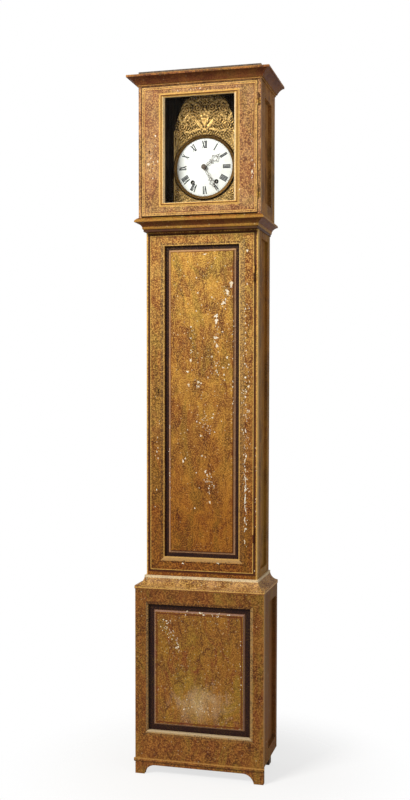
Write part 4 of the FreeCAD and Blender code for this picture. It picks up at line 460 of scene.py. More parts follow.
class CLOCK_OT_case(bpy.types.Operator):
    """Paint the case, its doors and its mouldings"""
    bl_idname = "clock.case"
    bl_label = "Painted case"

    def execute(self, context):
        paint = context.scene.clock_paint
        for section in (self.trunk, self.base, self.hood, self.sides, self.mouldings):
            section(paint)
        # Sawn pine left bare: dust has turned the top grey, and the back is the brown of old resin.
        paint_nodes(board_wood("weathered_top_board", paint.weathered, "#3d332a"), "cap_board")
        paint_nodes(board_wood("bare_back_boards", "#6b5138", "#3b2a1b"), "back_board seat_board rear_feet")
        return {"FINISHED"}

    def window(self, node):
        """The opening that a fielded panel shows: its box less the lap behind the frame."""
        low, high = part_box(node)
        lap = 7 * MM
        return Vector((low.x + lap, 0, low.z + lap)), Vector((high.x - lap, 0, high.z - lap))

    def trunk(self, paint):
        """Golden burr on the panel and duller stiles, all made darker downwards by painted shade. The bevel
        round the opening is painted with light and shade, with painted highlights over its lower and right
        sides; the gold line at the opening is a painted highlight, and those at the edges of the door and the
        face are partly rubbed paint and partly painted highlight. Painted shadow lies in the gap round the
        door and along the foot of the face. Dirt and rubbed paint darken the place round the keyhole."""
        window = self.window("trunk_door_panel")
        door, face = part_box("trunk_door_frame"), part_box("trunk_face_frame")
        # Painted shade: the trunk's paint is multiplied darker from 1.72 m down to 0.9 m, for light that
        # falls off downwards.
        fall = [(1.72, 0.9, "#c0a382")]
        grained_paint(
            "trunk_door_panel", "trunk_panel_burr_graining", paint, paint.ochre, paint.umber, veins=0.66,
            worn=0.55, lean=0.75, stretch=0.34, fall=fall,
            lines=[(*window, "X", [(-9, 13, paint.maroon, 1), (13, 15.5, paint.bistre, 0.9),
                                   (15.5, 21, "#b58c69", 0.8), (21, 24, paint.line_red, 0.75)])])
        grained_paint(
            "trunk_door_frame trunk_door_hinge_halves", "trunk_door_graining", paint, paint.olive,
            paint.umber, veins=0.5, worn=0.45, lean=0.2, fall=fall,
            patch=(-154.5, 1341, 12, 18, paint.bistre),
            # Painted light and shade on the bevel round the opening: dark on the left and top, paler on the
            # right, and cream on the bottom that faces up, with a dark line beyond it.
            bevel=(*window, (("X", -1, 14, "#6a5132", 0.75), ("X", 1, 20, "#9c8152", 0.55),
                             ("Z", -1, 20, "#5e3a12", 0.8), ("Z", -1, 15, "#ecd5a2", 0.93),
                             ("Z", 1, 9, "#54341a", 0.75))),
            # Painted highlights laid over the dabs: cream on the bottom of the bevel and a pale line on its
            # right.
            bevel_highlight=(*window, (("Z", -1, 11, "#f0dcae", 0.6), ("X", 1, 2.4, "#e0c48c", 0.45))),
            # The gold line at the opening is a painted highlight; the one at the door's edge is partly rubbed
            # paint and partly painted highlight.
            lines=[(*window, "X", [(-2.6, 0.6, paint.gold, 0.45)]),
                   (*door, "X", [(-1, 3.4, paint.gold, 0.55)])])
        grained_paint(
            "trunk_face_frame case_hinge_halves", "trunk_face_graining", paint, paint.olive, paint.umber,
            veins=0.5, worn=0.3, lean=0.1, fall=fall,
            # Painted shadow along the foot of the face under the door and in the gap round the door; the gold
            # line at the face's edge is partly rubbed paint and partly painted highlight.
            levels=[(face[0].z - MM, face[0].z + 15 * MM, paint.bistre, 0.62)],
            lines=[(*face, "X", [(-1, 4.4, paint.gold, 0.6)]), (*door, "X", [(-7, 1, "#3a160a", 0.9)])])

    def base(self, paint):
        """Darker burr on the plinth, with a worn place low in the middle. The bevel round the opening is
        painted with light and shade, the frame's edge line is partly rubbed paint and partly painted
        highlight, and the apron's bead has a painted highlight over a line of painted shade.
        """
        window = self.window("base_front_panel")
        grained_paint(
            "base_front_panel", "base_panel_burr_graining", paint, "#835a1c", "#7a5220", veins=0.8, dots=0.82,
            worn=0.2, lean=0.3, drifts=0.75, glint="#bb893c", patch=(10, 262, 120, 70, "#cdb083"),
            lines=[(*window, "X", [(-9, 19, paint.maroon, 1), (19, 21.5, paint.bistre, 0.9),
                                   (21.5, 26.5, paint.plum, 0.8), (29.5, 34.5, paint.line_red, 0.8)])])
        grained_paint(
            "base_front_frame", "base_frame_graining", paint, "#774a1b", "#623a14", veins=0.6, worn=0.3,
            lean=0.1, drifts=0.7, glint="#a87636",
            # Painted light and shade on the bevel round the opening: greyish on the left, dark on the top,
            # paler on the right, and pale on the bottom that faces up, with a darker band beyond it.
            bevel=(*window, (("X", -1, 8, "#76603f", 0.8), ("X", 1, 9, "#a08050", 0.75),
                             ("Z", -1, 19, "#75522a", 0.6), ("Z", -1, 10, "#b09468", 0.85),
                             ("Z", 1, 9, "#4f2f14", 0.8))),
            # A painted highlight laid over the dabs along the bottom of the bevel.
            bevel_highlight=(*window, (("Z", -1, 5, "#cbb795", 0.5),)),
            # The paler line at the frame's edge is partly rubbed paint and partly painted highlight.
            lines=[(*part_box("base_front_frame"), "X", [(-1, 3, paint.olive, 0.45)])])
        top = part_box("apron_with_feet")[1].z
        grained_paint(
            "apron_with_feet", "apron_graining", paint, paint.tawny, "#6a4017", veins=0.6, worn=0.2, lean=0.1,
            # The apron's bead: a painted highlight along its top and a line of painted shade under it.
            drifts=0.7, glint="#a87636", levels=[(top - 3 * MM, top + MM, paint.olive, 0.7),
                                                 (top - 12 * MM, top - 9 * MM, paint.bistre, 0.7)])

    def hood(self, paint):
        """Pinkish ochre door with a golden line and a scribed brown one; a painted highlight at the sight, a
        dark line and a gold one at the outer edge, and a sight moulding banded gold, dark and pale.
        """
        door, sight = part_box("hood_door_frame"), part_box("hood_door_glazing_moulding")
        grained_paint(
            "hood_door_frame hood_door_hinge_halves", "hood_door_graining", paint, paint.rose, "#94603a",
            veins=0.5, worn=0.35, lean=0.1, drifts=0.6, glint="#d8a860",
            # The gold line at the sight is a painted highlight; at the outer edge the gold line inside the
            # dark one is partly rubbed paint and partly painted highlight.
            lines=[(*sight, "X", [(-3, 0.4, paint.gold, 0.55)]),
                   (*door, "X", [(8.6, 10.8, paint.gold, 0.7), (10.8, 13.2, paint.russet, 0.75),
                                 (-1, 2.6, paint.bistre, 0.6), (2.6, 5.4, paint.gold, 0.5)])])
        grained_paint(
            "hood_door_glazing_moulding", "gold_banded_sight_moulding", paint, paint.ochre, paint.umber, veins=0.3,
            # Gold, dark and pale bands round the sight, by distance from its edge.
            worn=0.7, lines=[(*sight, "X", [(-1, 3.4, paint.gold, 0.6), (3.4, 7.5, paint.mahogany, 0.85),
                                            (7.5, 10.5, paint.gold, 0.7), (10.5, 17, paint.buff, 0.55)])])
        grained_paint("hood_face_frame", "hood_face_graining", paint, paint.rose, "#94603a", veins=0.5,
                      worn=0.35, drifts=0.6, glint="#d8a860")

    def sides(self, paint):
        """The sides are streaked upright, duller and smoother. The trunk's and base's grounds are darker than
        their fronts', partly a duller paint and partly painted shade on sides turned from the lamp. A dark
        border of painted shade lines each sunk panel, and a line partly of rubbed paint and partly of painted
        highlight runs round each frame's edge.
        """
        # Side grounds: partly a duller paint and partly painted shade on the sides turned from the lamp.
        grounds = {"base": ("#6e4620", "#95632e"), "trunk": (paint.shadow, "#b08546"),
                   "hood": ("#a8743c", "#c2964f")}
        boards = {"panel": ("#6b4824", 0.35, 0.55, 0.15, 4, paint.bistre),
                  "frame": ("#6b4a2a", 0.3, 0.6, 0.2, 3, paint.olive)}
        for part, (ground, glint) in grounds.items():
            for board, (dark, veins, dots, worn, border, edge) in boards.items():
                name = f"{part}_side_{board}"
                grained_paint(name + "s", name + "_streaks", paint, ground, dark, veins=veins, dots=dots,
                              worn=worn, drifts=0.5, lean=0.0, stretch=0.09, glint=glint, gloss=0.03,
                              # Painted shade as a dark border in each sunk panel; on the frames, an edge line
                              # that is partly rubbed paint and partly painted highlight.
                              lines=[(*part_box(name + "s"), "Y", [(-1, border, edge, 0.4)])])

    def mouldings(self, paint):
        """Mouldings banded by height: painted shade darkens their coves and painted highlights lighten their
        fillets and edges.
        """
        low, high = (corner.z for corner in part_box("cornice"))
        grained_paint(
            "cornice", "cornice_paint", paint, "#925c2b", paint.mahogany, veins=0.6, worn=0.4, drifts=0.5,
            glint="#b57a3a",
            # Painted highlights on the lower fillet and the top edge; between them a dark band over the cove,
            # partly its red-brown paint and partly painted shade.
            levels=[(low - MM, low + 5 * MM, paint.olive, 0.5),
                    (low + 5 * MM, high - 7 * MM, "#4f2411", 0.62),
                    (high - 2.4 * MM, high + MM, paint.olive, 0.55)])
        low, high = (corner.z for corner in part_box("throat_moulding"))
        grained_paint(
            "throat_moulding", "throat_paint", paint, paint.tawny, paint.mahogany, veins=0.7, worn=0.4,
            glint="#a8702e",
            # From the foot up: painted shade in the lower cove, a painted highlight on the bead, painted
            # shade in the upper cove and a painted highlight on the top round.
            levels=[(low - MM, low + 8 * MM, paint.bistre, 0.8),
                    (low + 8 * MM, low + 16.5 * MM, paint.ochre, 0.42),
                    (low + 16.5 * MM, high - 15 * MM, paint.mahogany, 0.6),
                    (high - 15 * MM, high - 6 * MM, paint.ochre, 0.42)])
        low, high = (corner.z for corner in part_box("base_top_moulding"))
        grained_paint(
            "base_top_moulding", "plinth_moulding_paint", paint, "#a87c4c", paint.tawny, veins=0.3, worn=0.5,
            drifts=0.4,
            # A dark red line at the foot and a gold band above it; buff along the top edge is a painted
            # highlight.
            levels=[(low - MM, low + 2.5 * MM, paint.russet, 0.75),
                    (low + 2.5 * MM, low + 6 * MM, paint.gold, 0.4),
                    (high - 8 * MM, high + MM, paint.buff, 0.6)])


class CLOCK_OT_metal(bpy.types.Operator):
    """Finish the movement, locks, weights and lines"""
    bl_idname = "clock.metal"
    bl_label = "Movement and ironwork"

    def execute(self, context):
        tones = context.scene.clock_metal
        # Sand-cast brass, filed and turned: a warm dull yellow with brown left in the scratches.
        brass = worn_metal("cast_brass_wheels", tones.brass, "#5f411d", 0.35)
        paint_nodes(brass, "centre_wheel third_wheel escape_wheel cannon_pinion intermediate_wheel "
                    "hour_wheel going_great_wheel strike_great_wheel strike_second_wheel strike_fly "
                    "pendulum_bob bell")
        self.barrels(tones)
        # Brass spun over a form and never polished since: a dark brown-gold ring with a soft highlight.
        paint_nodes(worn_metal("spun_brass_bezel", tones.bezel, "#2e1d0d", 0.4), "dial_bezel")
        # Iron drawn under the hammer and filed: grey-black, oily, with blurred glints and a little rust.
        iron = worn_metal("forged_iron", tones.steel, "#2a211b", 0.55)
        paint_nodes(iron, "movement_cage pivot_bars movement_brackets pallet_anchor hammer pendulum_rod "
                    "trunk_door_lock_case hood_door_lock_case trunk_door_lock_bolt hood_door_lock_bolt")
        # Iron straight from the sand mould: near black and quite dull, with rust in wide patches.
        rough = worn_metal("sand_cast_iron", tones.grey_iron, "#4a3022", 0.75, patch_mm=14)
        paint_nodes(rough, "going_weight strike_weight")
        self.lay_lines(self.hemp())
        return {"FINISHED"}

    def barrels(self, tones):
        """Turned brass drums on steel arbors: the steel shows near each axis, bright where the winding key
        has rubbed it. The two axes are mirror places, so one folded distance serves both."""
        low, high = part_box("strike_barrel")
        axis, arbor_mm, grain_mm = (low + high) / 2, 4.5, 7
        material, tree, shader, where = new_material("turned_brass_barrel_on_steel_arbor")
        folded = add(tree, "VectorMath", operation="ABSOLUTE", Vector=where)
        offset = add(tree, "VectorMath", operation="SUBTRACT", Vector=folded,
                     Vector_001=(abs(axis.x), 0, axis.z))
        flat = add(tree, "VectorMath", operation="MULTIPLY", Vector=offset, Vector_001=(1, 0, 1))
        radius = add(tree, "VectorMath", operation="LENGTH", Vector=flat).outputs["Value"]
        steel = add(tree, "Math", operation="LESS_THAN", Value=radius, Value_001=arbor_mm * MM)
        grain = add(tree, "TexNoise", Vector=where, Scale=1 / (grain_mm * MM), Detail=4)
        drum = coat(tree, opaque(tones.brass), "#6b4a22", grain)
        gloss = add(tree, "MapRange", Value=grain, From_Min=0.3, From_Max=0.7, To_Min=0.25, To_Max=0.5)
        plug(tree, shader, Base_Color=coat(tree, drum, "#77716a", steel), Roughness=gloss, Metallic=1.0)
        paint_nodes(material, "going_barrel strike_barrel")

    def hemp(self):
        """Twisted hemp: dull straw with darker bands slanting across it where the strands meet."""
        material, tree, shader, where = new_material("laid_hemp_line")
        band_mm, slant = 12, 0.6
        tilted = add(tree, "Mapping", Vector=where, Rotation=(0, slant, 0))
        bands = add(tree, "TexWave", bands_direction="Z", Vector=tilted, Scale=1 / (band_mm * MM),
                    Distortion=0.5)
        plug(tree, shader, Base_Color=coat(tree, opaque("#6a5334"), "#9c8052", bands), Roughness=0.85)
        return material

    def lay_lines(self, hemp):
        """Three strands laid together: the radius swells as the cosine over each strand, and the strands turn
        once about the line in each lay. In the clock its drum takes the line up as the weight rises; here the
        line is made once, at its length in the frame."""
        lay, strands, step = 9 * MM, 3, 1.6 * MM
        angle = once_round(12)
        for train in ("going", "strike"):
            node, slide = train + "_line", train + "_weight_slide"
            low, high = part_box(node)
            axis, reach, fall = (low + high) / 2, (high.x - low.x) / 2, high.z - low.z
            height = np.linspace(low.z, high.z, int(fall / step))[:, None]
            strand = strands / 2 * (angle - 2 * math.pi * height / lay)
            radius = reach * (0.8 + 0.2 * np.abs(np.cos(strand)))
            points = np.stack([axis.x + radius * np.cos(angle), axis.y + radius * np.sin(angle),
                               np.broadcast_to(height, radius.shape)], axis=-1)
            piece = grid_piece(node + "_laid", [(capped(points)[:, ::-1], False, True)], "case", hemp)
            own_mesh(piece)
            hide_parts(node)


class CLOCK_OT_glass(bpy.types.Operator):
    """Put drawn sheet glass in the hood door"""
    bl_idname = "clock.glass"
    bl_label = "Hood door glass"

    def execute(self, context):
        paint_nodes(mixed_shaders("drawn_sheet_glass", self.sheet), "hood_door_glass")
        return {"FINISHED"}

    def sheet(self, tree, where):
        """Hand-drawn glass: clear, thin and faintly rippled, so it shows only as a weak wavering gleam. The
        gleam grows with the fifth power of how far the glass is turned away, the same from both sides."""
        ripple_mm, straight_on, sideways = 70, 0.004, 0.3
        ripple = add(tree, "TexNoise", Vector=where, Scale=1 / (ripple_mm * MM), Detail=1)
        bend = add(tree, "Bump", Height=ripple, Strength=0.15, Distance=0.5 * MM)
        clear = add(tree, "BsdfTransparent", Color=(0.97, 0.98, 0.97, 1))
        gloss = add(tree, "BsdfAnisotropic", Roughness=0.03, Normal=bend)
        away = add(tree, "LayerWeight", Blend=0.5).outputs["Facing"]
        steep = add(tree, "Math", operation="POWER", Value=away, Value_001=5.0)
        gleam = add(tree, "Math", operation="MULTIPLY_ADD", Value=steep, Value_001=sideways,
                    Value_002=straight_on)
        return add(tree, "MixShader", Fac=gleam, Shader=clear, Shader_001=gloss)


class CLOCK_OT_dial(bpy.types.Operator):
    """Fire the enamel and print its numerals, minutes and hole rings"""
    bl_idname = "clock.dial"
    bl_label = "Enamel dial"
    # Stroke lists per numeral: (lean at foot, lean at head, wide or fine), in widths of one letter.
    letters = {
        "I": (0.5, [(0.25, 0.25, True)]),
        "V": (1.0, [(0.5, 0.08, True), (0.5, 0.92, False)]),
        "X": (1.0, [(0.92, 0.08, True), (0.08, 0.92, False)]),
    }
    hours = ("XII", "I", "II", "III", "IIII", "V", "VI", "VII", "VIII", "IX", "X", "XI")
    sunk = 0.3 * MM

    def execute(self, context):
        sizes = context.scene.clock_dial
        # Vitreous enamel on copper: milk white, a little creamier where it has aged, with a soft even gloss.
        paint_nodes(fired_enamel("fired_white_enamel", sizes.enamel, "#f3eee2", 0.4, 0.3), "enamel_dial")
        # Black painted over the white and fired once more: dense, hardly glossy, rubbed grey in spots.
        ink = fired_enamel("fired_black_enamel", sizes.ink, "#34343a", 0.6, 0.15)
        self.numerals(sizes, ink)
        self.minutes(sizes, ink)
        # Dull black rings round the winding holes, whose black stands for the shade down in the deep holes:
        # the darkest thing on the dial.
        self.hole_rings(sizes, fired_enamel("black_ring_as_hole_shade", "#060608", "#17161a", 0.9, 0.02))
        return {"FINISHED"}

    def numerals(self, sizes, ink):
        """Each stroke is a thin raised bar whose half width swells at both ends into a serif."""
        letter, serif_share, swell, raised = 9 * MM, 0.045, 0.5 * MM, 0.18 * MM
        along = np.linspace(0, 1, 15)
        flare = np.exp(-along / serif_share) + np.exp(-(1 - along) / serif_share)
        radial = sizes.numeral_inner + (sizes.numeral_outer - sizes.numeral_inner) * along
        depth = np.pad(dome_depth(radial), 1, mode="edge")[:, None]
        grids = []
        for hour, text in enumerate(self.hours):
            start = -sum(self.letters[sign][0] for sign in text) * letter / 2
            for sign in text:
                width, strokes = self.letters[sign]
                for foot, head, wide in strokes:
                    across = start + (foot + (head - foot) * along) * letter
                    line = on_dial(across, radial, hour * math.pi / 6)
                    half = (sizes.stroke_wide if wide else sizes.stroke_fine) / 2
                    bar = capped(ribbon(line, half + flare * swell, 0.0, 0.0, False))
                    bar[:, :2, 1] = depth - raised
                    bar[:, 2:, 1] = depth + self.sunk
                    grids.append((bar, False, True))
                start += width * letter
        grid_piece("dial_numerals", grids, "case", ink, smooth=False)

    def minutes(self, sizes, ink):
        """Two fine rings with sixty strokes between them, and a lozenge at every fifth."""
        band, fine, ring_raised, stroke_raised = 1.6 * MM, 0.16 * MM, 0.12 * MM, 0.16 * MM
        grids = []
        for radius in (sizes.minute_ring - band, sizes.minute_ring + band):
            circle, depth = on_dial(0, radius, once_round(180)), dome_depth(radius)
            grids.append((ribbon(circle, fine, depth - ring_raised, depth + self.sunk, True), True, True))
        radial, depth = sizes.minute_ring + np.linspace(-band, band, 5), dome_depth(sizes.minute_ring)
        lozenge = np.array([0.3, 0.8, 1, 0.8, 0.3]) * MM
        for minute in range(60):
            line, half = on_dial(0, radial, minute * math.pi / 30), 0.2 if minute % 5 else 0.9
            bar = ribbon(line, half * lozenge, depth - stroke_raised, depth + self.sunk, False)
            grids.append((capped(bar), False, True))
        grid_piece("dial_minute_ring", grids, "case", ink, smooth=False)

    def hole_rings(self, sizes, rim):
        """A half-round black ring lines each winding hole, its black standing for the shade down in the hole:
        half an ellipse turned about the hole.
        """
        bend = np.linspace(0, math.pi, 9)
        outer, inner, seat, swell = sizes.ring_radius, 3.1 * MM, 0.35 * MM, 1.1 * MM
        radius = (outer + inner) / 2 + (outer - inner) / 2 * np.cos(bend)
        grids = []
        for node in ("going_barrel", "strike_barrel"):
            low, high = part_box(node)
            hole = ((low.x + high.x) / 2, (low.z + high.z) / 2)
            rise = dome_depth(math.dist(hole, centre)) + seat - swell * np.sin(bend)
            grids.append((turned(np.column_stack([radius, rise]), hole), True, True))
        grid_piece("winding_hole_rings", grids, "case", rim)


class CLOCK_OT_hands(bpy.types.Operator):
    """Cut the two pierced hands and their boss"""
    bl_idname = "clock.hands"
    bl_label = "Pierced hands"
    # Loops along a hand, in millimetres from the centre: (middle, half length, half width).
    minute_loops = ((24, 12, 3.2), (40.5, 4.2, 3.4), (50, 4.6, 4.4), (63.5, 8.4, 7.6), (75, 3.2, 3.0))
    hour_loops = ((19, 8, 3.2), (31, 4.0, 4.4), (47, 9.6, 9.2), (59, 3.2, 3.4))

    def execute(self, context):
        # Thin sawn brass, browned by age: dark against the enamel, with a dull warm edge in the light.
        tone = context.scene.clock_metal.hand
        browned = worn_metal("browned_pierced_brass", tone, "#2e231c", 0.5, patch_mm=6)
        self.cut("minute_hand", "centre", self.minute_loops, 95, 78, 151.5, browned)
        self.cut("hour_hand", "hour", self.hour_loops, 71, 62, 53, browned)
        self.boss(browned)
        return {"FINISHED"}

    def boss(self, browned):
        """A dome, with a turned groove as a bell curve between the collet and the washer round it."""
        reach, proud, groove, spread, cut = 8.5 * MM, 0.4 * MM, 5.2 * MM, 0.8 * MM, 1.1 * MM
        low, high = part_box("minute_hand")
        front = min(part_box(node)[0].y for node in ("minute_hand", "centre_wheel", "cannon_pinion")) - proud
        bend = np.linspace(0, math.pi / 2, 25)
        radius = reach * np.sin(bend)
        depth = low.y + (front - low.y) * np.cos(bend) + cut * np.exp(-((radius - groove) / spread) ** 2)
        profile = np.column_stack([np.append(radius, reach), np.append(depth, high.y)])
        grid_piece("minute_hand_boss", [(turned(profile, centre), True, False)], "centre", browned)

    def cut(self, node, body, loops, reach, tip_from, angle, material):
        """Each opening is an oval band: its line is (half width times cosine, half length times sine), and a
        bar tapers on to the tip. All of it lies in millimetres along a hand that is turned to its angle."""
        low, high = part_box(node)
        cosine, sine = np.cos(once_round(40)), np.sin(once_round(40))
        grids = []

        def bar(across, along, half_width, closed=True):
            line = on_dial(across * MM, along * MM, math.radians(angle))
            grid = ribbon(line, half_width * MM, low.y, high.y, closed)
            grids.append((grid if closed else capped(grid), closed, True))

        for middle, half_length, half_width in loops:
            bar(half_width * cosine, middle + half_length * sine, 0.75)
            for side in (-1, 1) if half_width > 4 else ():
                bar(side * (half_width + 1.4) + 1.3 * cosine, middle + 1.3 * sine, 0.6)
        bar(np.zeros(12), np.linspace(tip_from, reach, 12), np.linspace(1.5, 0.4, 12), closed=False)
        bar(5.5 * cosine, 5.5 * sine, 3.4)
        piece = grid_piece(node + "_pierced", grids, body, material, smooth=False)
        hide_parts(node)


class CLOCK_OT_crest(bpy.types.Operator):
    """Press the brass surround in relief: scrolls, leaves, rays and a rosette"""
    bl_idname = "clock.crest"
    bl_label = "Pressed brass surround"
    # Motifs in millimetres, across and up from the dial's centre, on both sides of the middle.
    # Each scroll is (across, up, size, turns, which way it winds).
    scrolls = ((46, 162, 24, 2.2, 1), (80, 142, 15, 1.8, -1), (26, 206, 15, 1.7, -1), (66, 200, 14, 1.7, 1),
               (96, 118, 11, 1.6, 1), (97, -84, 9, 1.5, -1))
    # Each leaf is (across, up, reach, width, angle in radians).
    leaves = ((22, 150, 24, 8, 0.9), (64, 176, 22, 7, 2.2), (88, 166, 20, 6, 1.2), (14, 182, 20, 6.5, 1.35),
              (44, 224, 20, 6.5, 0.35), (100, 96, 18, 6, 1.7), (34, 128, 20, 5.5, 2.9), (66, 124, 16, 5, 0.2),
              (84, -104, 14, 5, 2.5), (106, -62, 15, 4.5, 1.5), (72, 220, 12, 5, 2.6), (74, -115, 13, 4, 2.9),
              (106, 66, 15, 4, 1.6), (58, 214, 11, 4, 1.1), (24, 232, 13, 4.5, 2.7))
    # Each fruit is (across, up, radius), in the middle only.
    fruits = ((0, 180, 8), (-11, 176, 7), (11, 176, 7), (-5, 190, 6.5), (6, 191, 6.5), (0, 200, 5))

    def execute(self, context):
        columns = context.scene.clock_stage.samples_across
        rows, opening, seat, proud = int(columns * 1.65), 97, 1.0, 0.2
        low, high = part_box("brass_surround")
        up = (np.linspace(low.z, high.z, rows)[:, None] - centre[1]) / MM
        x = self.half_width(up) * np.linspace(-1, 1, columns)
        z = np.broadcast_to(up, x.shape)
        relief = self.relief(x, z)
        y = np.maximum(high.y / MM - seat - relief, low.y / MM + proud)
        points = np.stack([centre[0] + x * MM, y * MM, centre[1] + z * MM], axis=-1).reshape(-1, 3)
        # The faces are wound the other way to look forwards, and those over the dial's opening are left out.
        quads = np.roll(grid_faces(rows, columns)[:, ::-1], 1, axis=1)
        quads = quads[np.all(np.hypot(x, z).reshape(-1)[quads] > opening, axis=1)]
        used, quads = np.unique(quads, return_inverse=True)
        brass = self.sheet_brass(context.scene.clock_metal)
        piece = mesh_piece("pressed_surround", points[used], quads.reshape(-1, 4), "case", brass)
        pressed = piece.data.attributes.new("pressed_height", "FLOAT", "POINT")
        pressed.data.foreach_set("value", relief.reshape(-1)[used])
        wall = piece.modifiers.new("Sheet", "SOLIDIFY")
        wall.thickness = 0.8 * MM
        wall.offset = -1
        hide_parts("brass_surround")
        return {"FINISHED"}

    def sheet_brass(self, tones):
        """Thin brass pressed in a die: rubbed gold on the high places, and brown with dirt in the hollows."""
        material, tree, shader, where = new_material("pressed_sheet_brass")
        patch_mm, hollow_mm, high_mm = 9, 0.75, 3.3
        pressed = add(tree, "Attribute", attribute_name="pressed_height").outputs["Fac"]
        patches = add(tree, "TexNoise", Vector=where, Scale=1 / (patch_mm * MM), Detail=4, Roughness=0.65)
        rubbed = add(tree, "MapRange", Value=pressed, From_Min=hollow_mm, From_Max=high_mm)
        dulled = add(tree, "MapRange", Value=patches, From_Min=0.7, From_Max=0.4, To_Min=0.35)
        amount = add(tree, "Math", operation="MULTIPLY", Value=rubbed, Value_001=dulled)
        plug(tree, shader, Base_Color=coat(tree, opaque(tones.patina), tones.pressed, amount), Metallic=1.0,
             Roughness=add(tree, "MapRange", Value=amount, To_Min=0.62, To_Max=0.36))
        return material

    def half_width(self, z):
        """Half the plate's width at a height above the dial's centre: straight sides, a flank that draws in
        as a power of the height, and a top that is half an ellipse. Sines cut leaf tips of two sizes into
        the edge above the dial."""
        width = np.full_like(z, 112.0)
        flank = (z > 125) & (z <= 213)
        width[flank] = 112 - 28 * ((z[flank] - 125) / 88) ** 1.6
        top = z > 213
        rise = np.clip((z[top] - 213) / 38, 0, 1)
        width[top] = np.maximum(84 * np.sqrt(np.maximum(1 - rise ** 2, 0)), 3)
        tips = 3.4 * np.abs(np.sin(z / 9.5)) + 1.6 * np.abs(np.sin(z / 3.3))
        return width - tips * np.clip((z - 118) / 20, 0, 1)

    def spiral(self, x, z, cx, cz, size, turns, side):
        """A scroll: height falls off with distance from a spiral whose radius grows evenly with its angle."""
        dx, dz, width = (x - cx) * side, z - cz, 2.3
        radius = np.hypot(dx, dz)
        angle = np.mod(np.arctan2(dz, dx), 2 * np.pi)
        pitch = size / turns
        wrapped = np.mod(radius / pitch - angle / (2 * np.pi) + 0.5, 1) - 0.5
        return np.exp(-(wrapped * pitch / width) ** 2) * (radius < size + width)

    def leaf(self, x, z, cx, cz, reach, width, angle):
        """A leaf: an ellipse domed across, creased along its rib and notched along its edge."""
        c, s = math.cos(angle), math.sin(angle)
        u, v = (x - cx) * c + (z - cz) * s, -(x - cx) * s + (z - cz) * c
        edge = width * np.sqrt(np.maximum(1 - (u / reach) ** 2, 0)) * (1 + 0.22 * np.sin(u * 1.1))
        inside = np.clip(1 - np.abs(v) / np.maximum(edge, 0.01), 0, 1) * (np.abs(u) < reach)
        veins = 0.85 + 0.15 * np.cos(2.1 * u - 1.6 * np.abs(v))
        return np.sqrt(inside) * (1 - 0.5 * np.exp(-(v / 0.9) ** 2)) * veins

    def rosette(self, x, z, cx, cz, size, petals):
        """Petals: a cosine of the angle times a bell over the radius, round a small boss."""
        radius = np.hypot(x - cx, z - cz)
        angle = np.arctan2(z - cz, x - cx)
        bloom = (0.55 + 0.45 * np.cos(petals * angle)) * np.exp(-((radius - size * 0.6) / (size * 0.32)) ** 2)
        return np.maximum(bloom, np.exp(-(radius / (size * 0.22)) ** 2))

    def relief(self, x, z):
        """The pressed height in millimetres: the highest of all the motifs at each point, over a ground of
        crossed waves that calms down beside the dial."""
        ax = np.abs(x)
        swirl = np.sin(0.34 * ax + 1.4 * np.sin(0.19 * z)) * np.sin(0.31 * z + 1.3 * np.sin(0.23 * ax))
        lively = np.clip((z - 60) / 60, 0.3, 1)
        height = 0.5 + 1.1 * (1 - lively) + 2.3 * lively * np.abs(swirl) ** 0.8
        motifs = [height]
        motifs += [4.8 * self.spiral(ax, z, *scroll) for scroll in self.scrolls]
        motifs += [4.6 * self.leaf(ax, z, *leaf) for leaf in self.leaves]
        motifs += [5.2 * self.rosette(x, z, 0, 226, 15, 8), 4.8 * self.rosette(ax, z, 99, -108, 10, 6),
                   4.9 * self.urn(x, z), 3.8 * self.swag(ax, z)]
        angle = np.arctan2(z - 168, x)
        spokes = 0.5 + 0.5 * np.cos(26 * angle)
        crown = np.hypot(x * 0.62, z - 168)
        motifs.append(3.2 * spokes * np.exp(-((crown - 66) / 12) ** 2) * (z > 168))
        beads = 0.6 + 0.4 * np.cos(np.arctan2(z, x) * 96)
        motifs.append(3.2 * beads * np.exp(-((np.hypot(x, z) - 117.5) / 2.2) ** 2) * (z > -122))
        border = np.minimum(112 - ax, z + 122)
        motifs.append(3.6 * np.exp(-((border - 2.2) / 1.6) ** 2) * (z < 128))
        return np.maximum.reduce(motifs)

    def urn(self, x, z):
        """A footed vase with fluted sides, full of round fruit."""
        up = z - 140
        width = np.interp(up, [-14, -10, -4, 2, 16, 24, 27, 30], [10, 10, 3, 5, 15, 15, 12, 14])
        inside = np.clip(1 - (x / np.maximum(width, 1)) ** 2, 0, 1) * (up > -14) * (up < 30)
        vase = np.sqrt(inside) * (0.82 + 0.18 * np.cos(x * 1.25))
        balls = [np.sqrt(np.clip(1 - (np.hypot(x - cx, z - cz) / size) ** 2, 0, 1))
                 for cx, cz, size in self.fruits]
        return np.maximum.reduce([vase, *balls])

    def swag(self, ax, z):
        """A hanging garland: beads along a curve that sags as a parabola between two points."""
        sag = 196 - 26 * (1 - ((ax - 52) / 34) ** 2)
        reach = np.abs(ax - 52) < 34
        return np.exp(-((z - sag) / 3.2) ** 2) * (0.7 + 0.3 * np.cos(ax * 1.3)) * reach


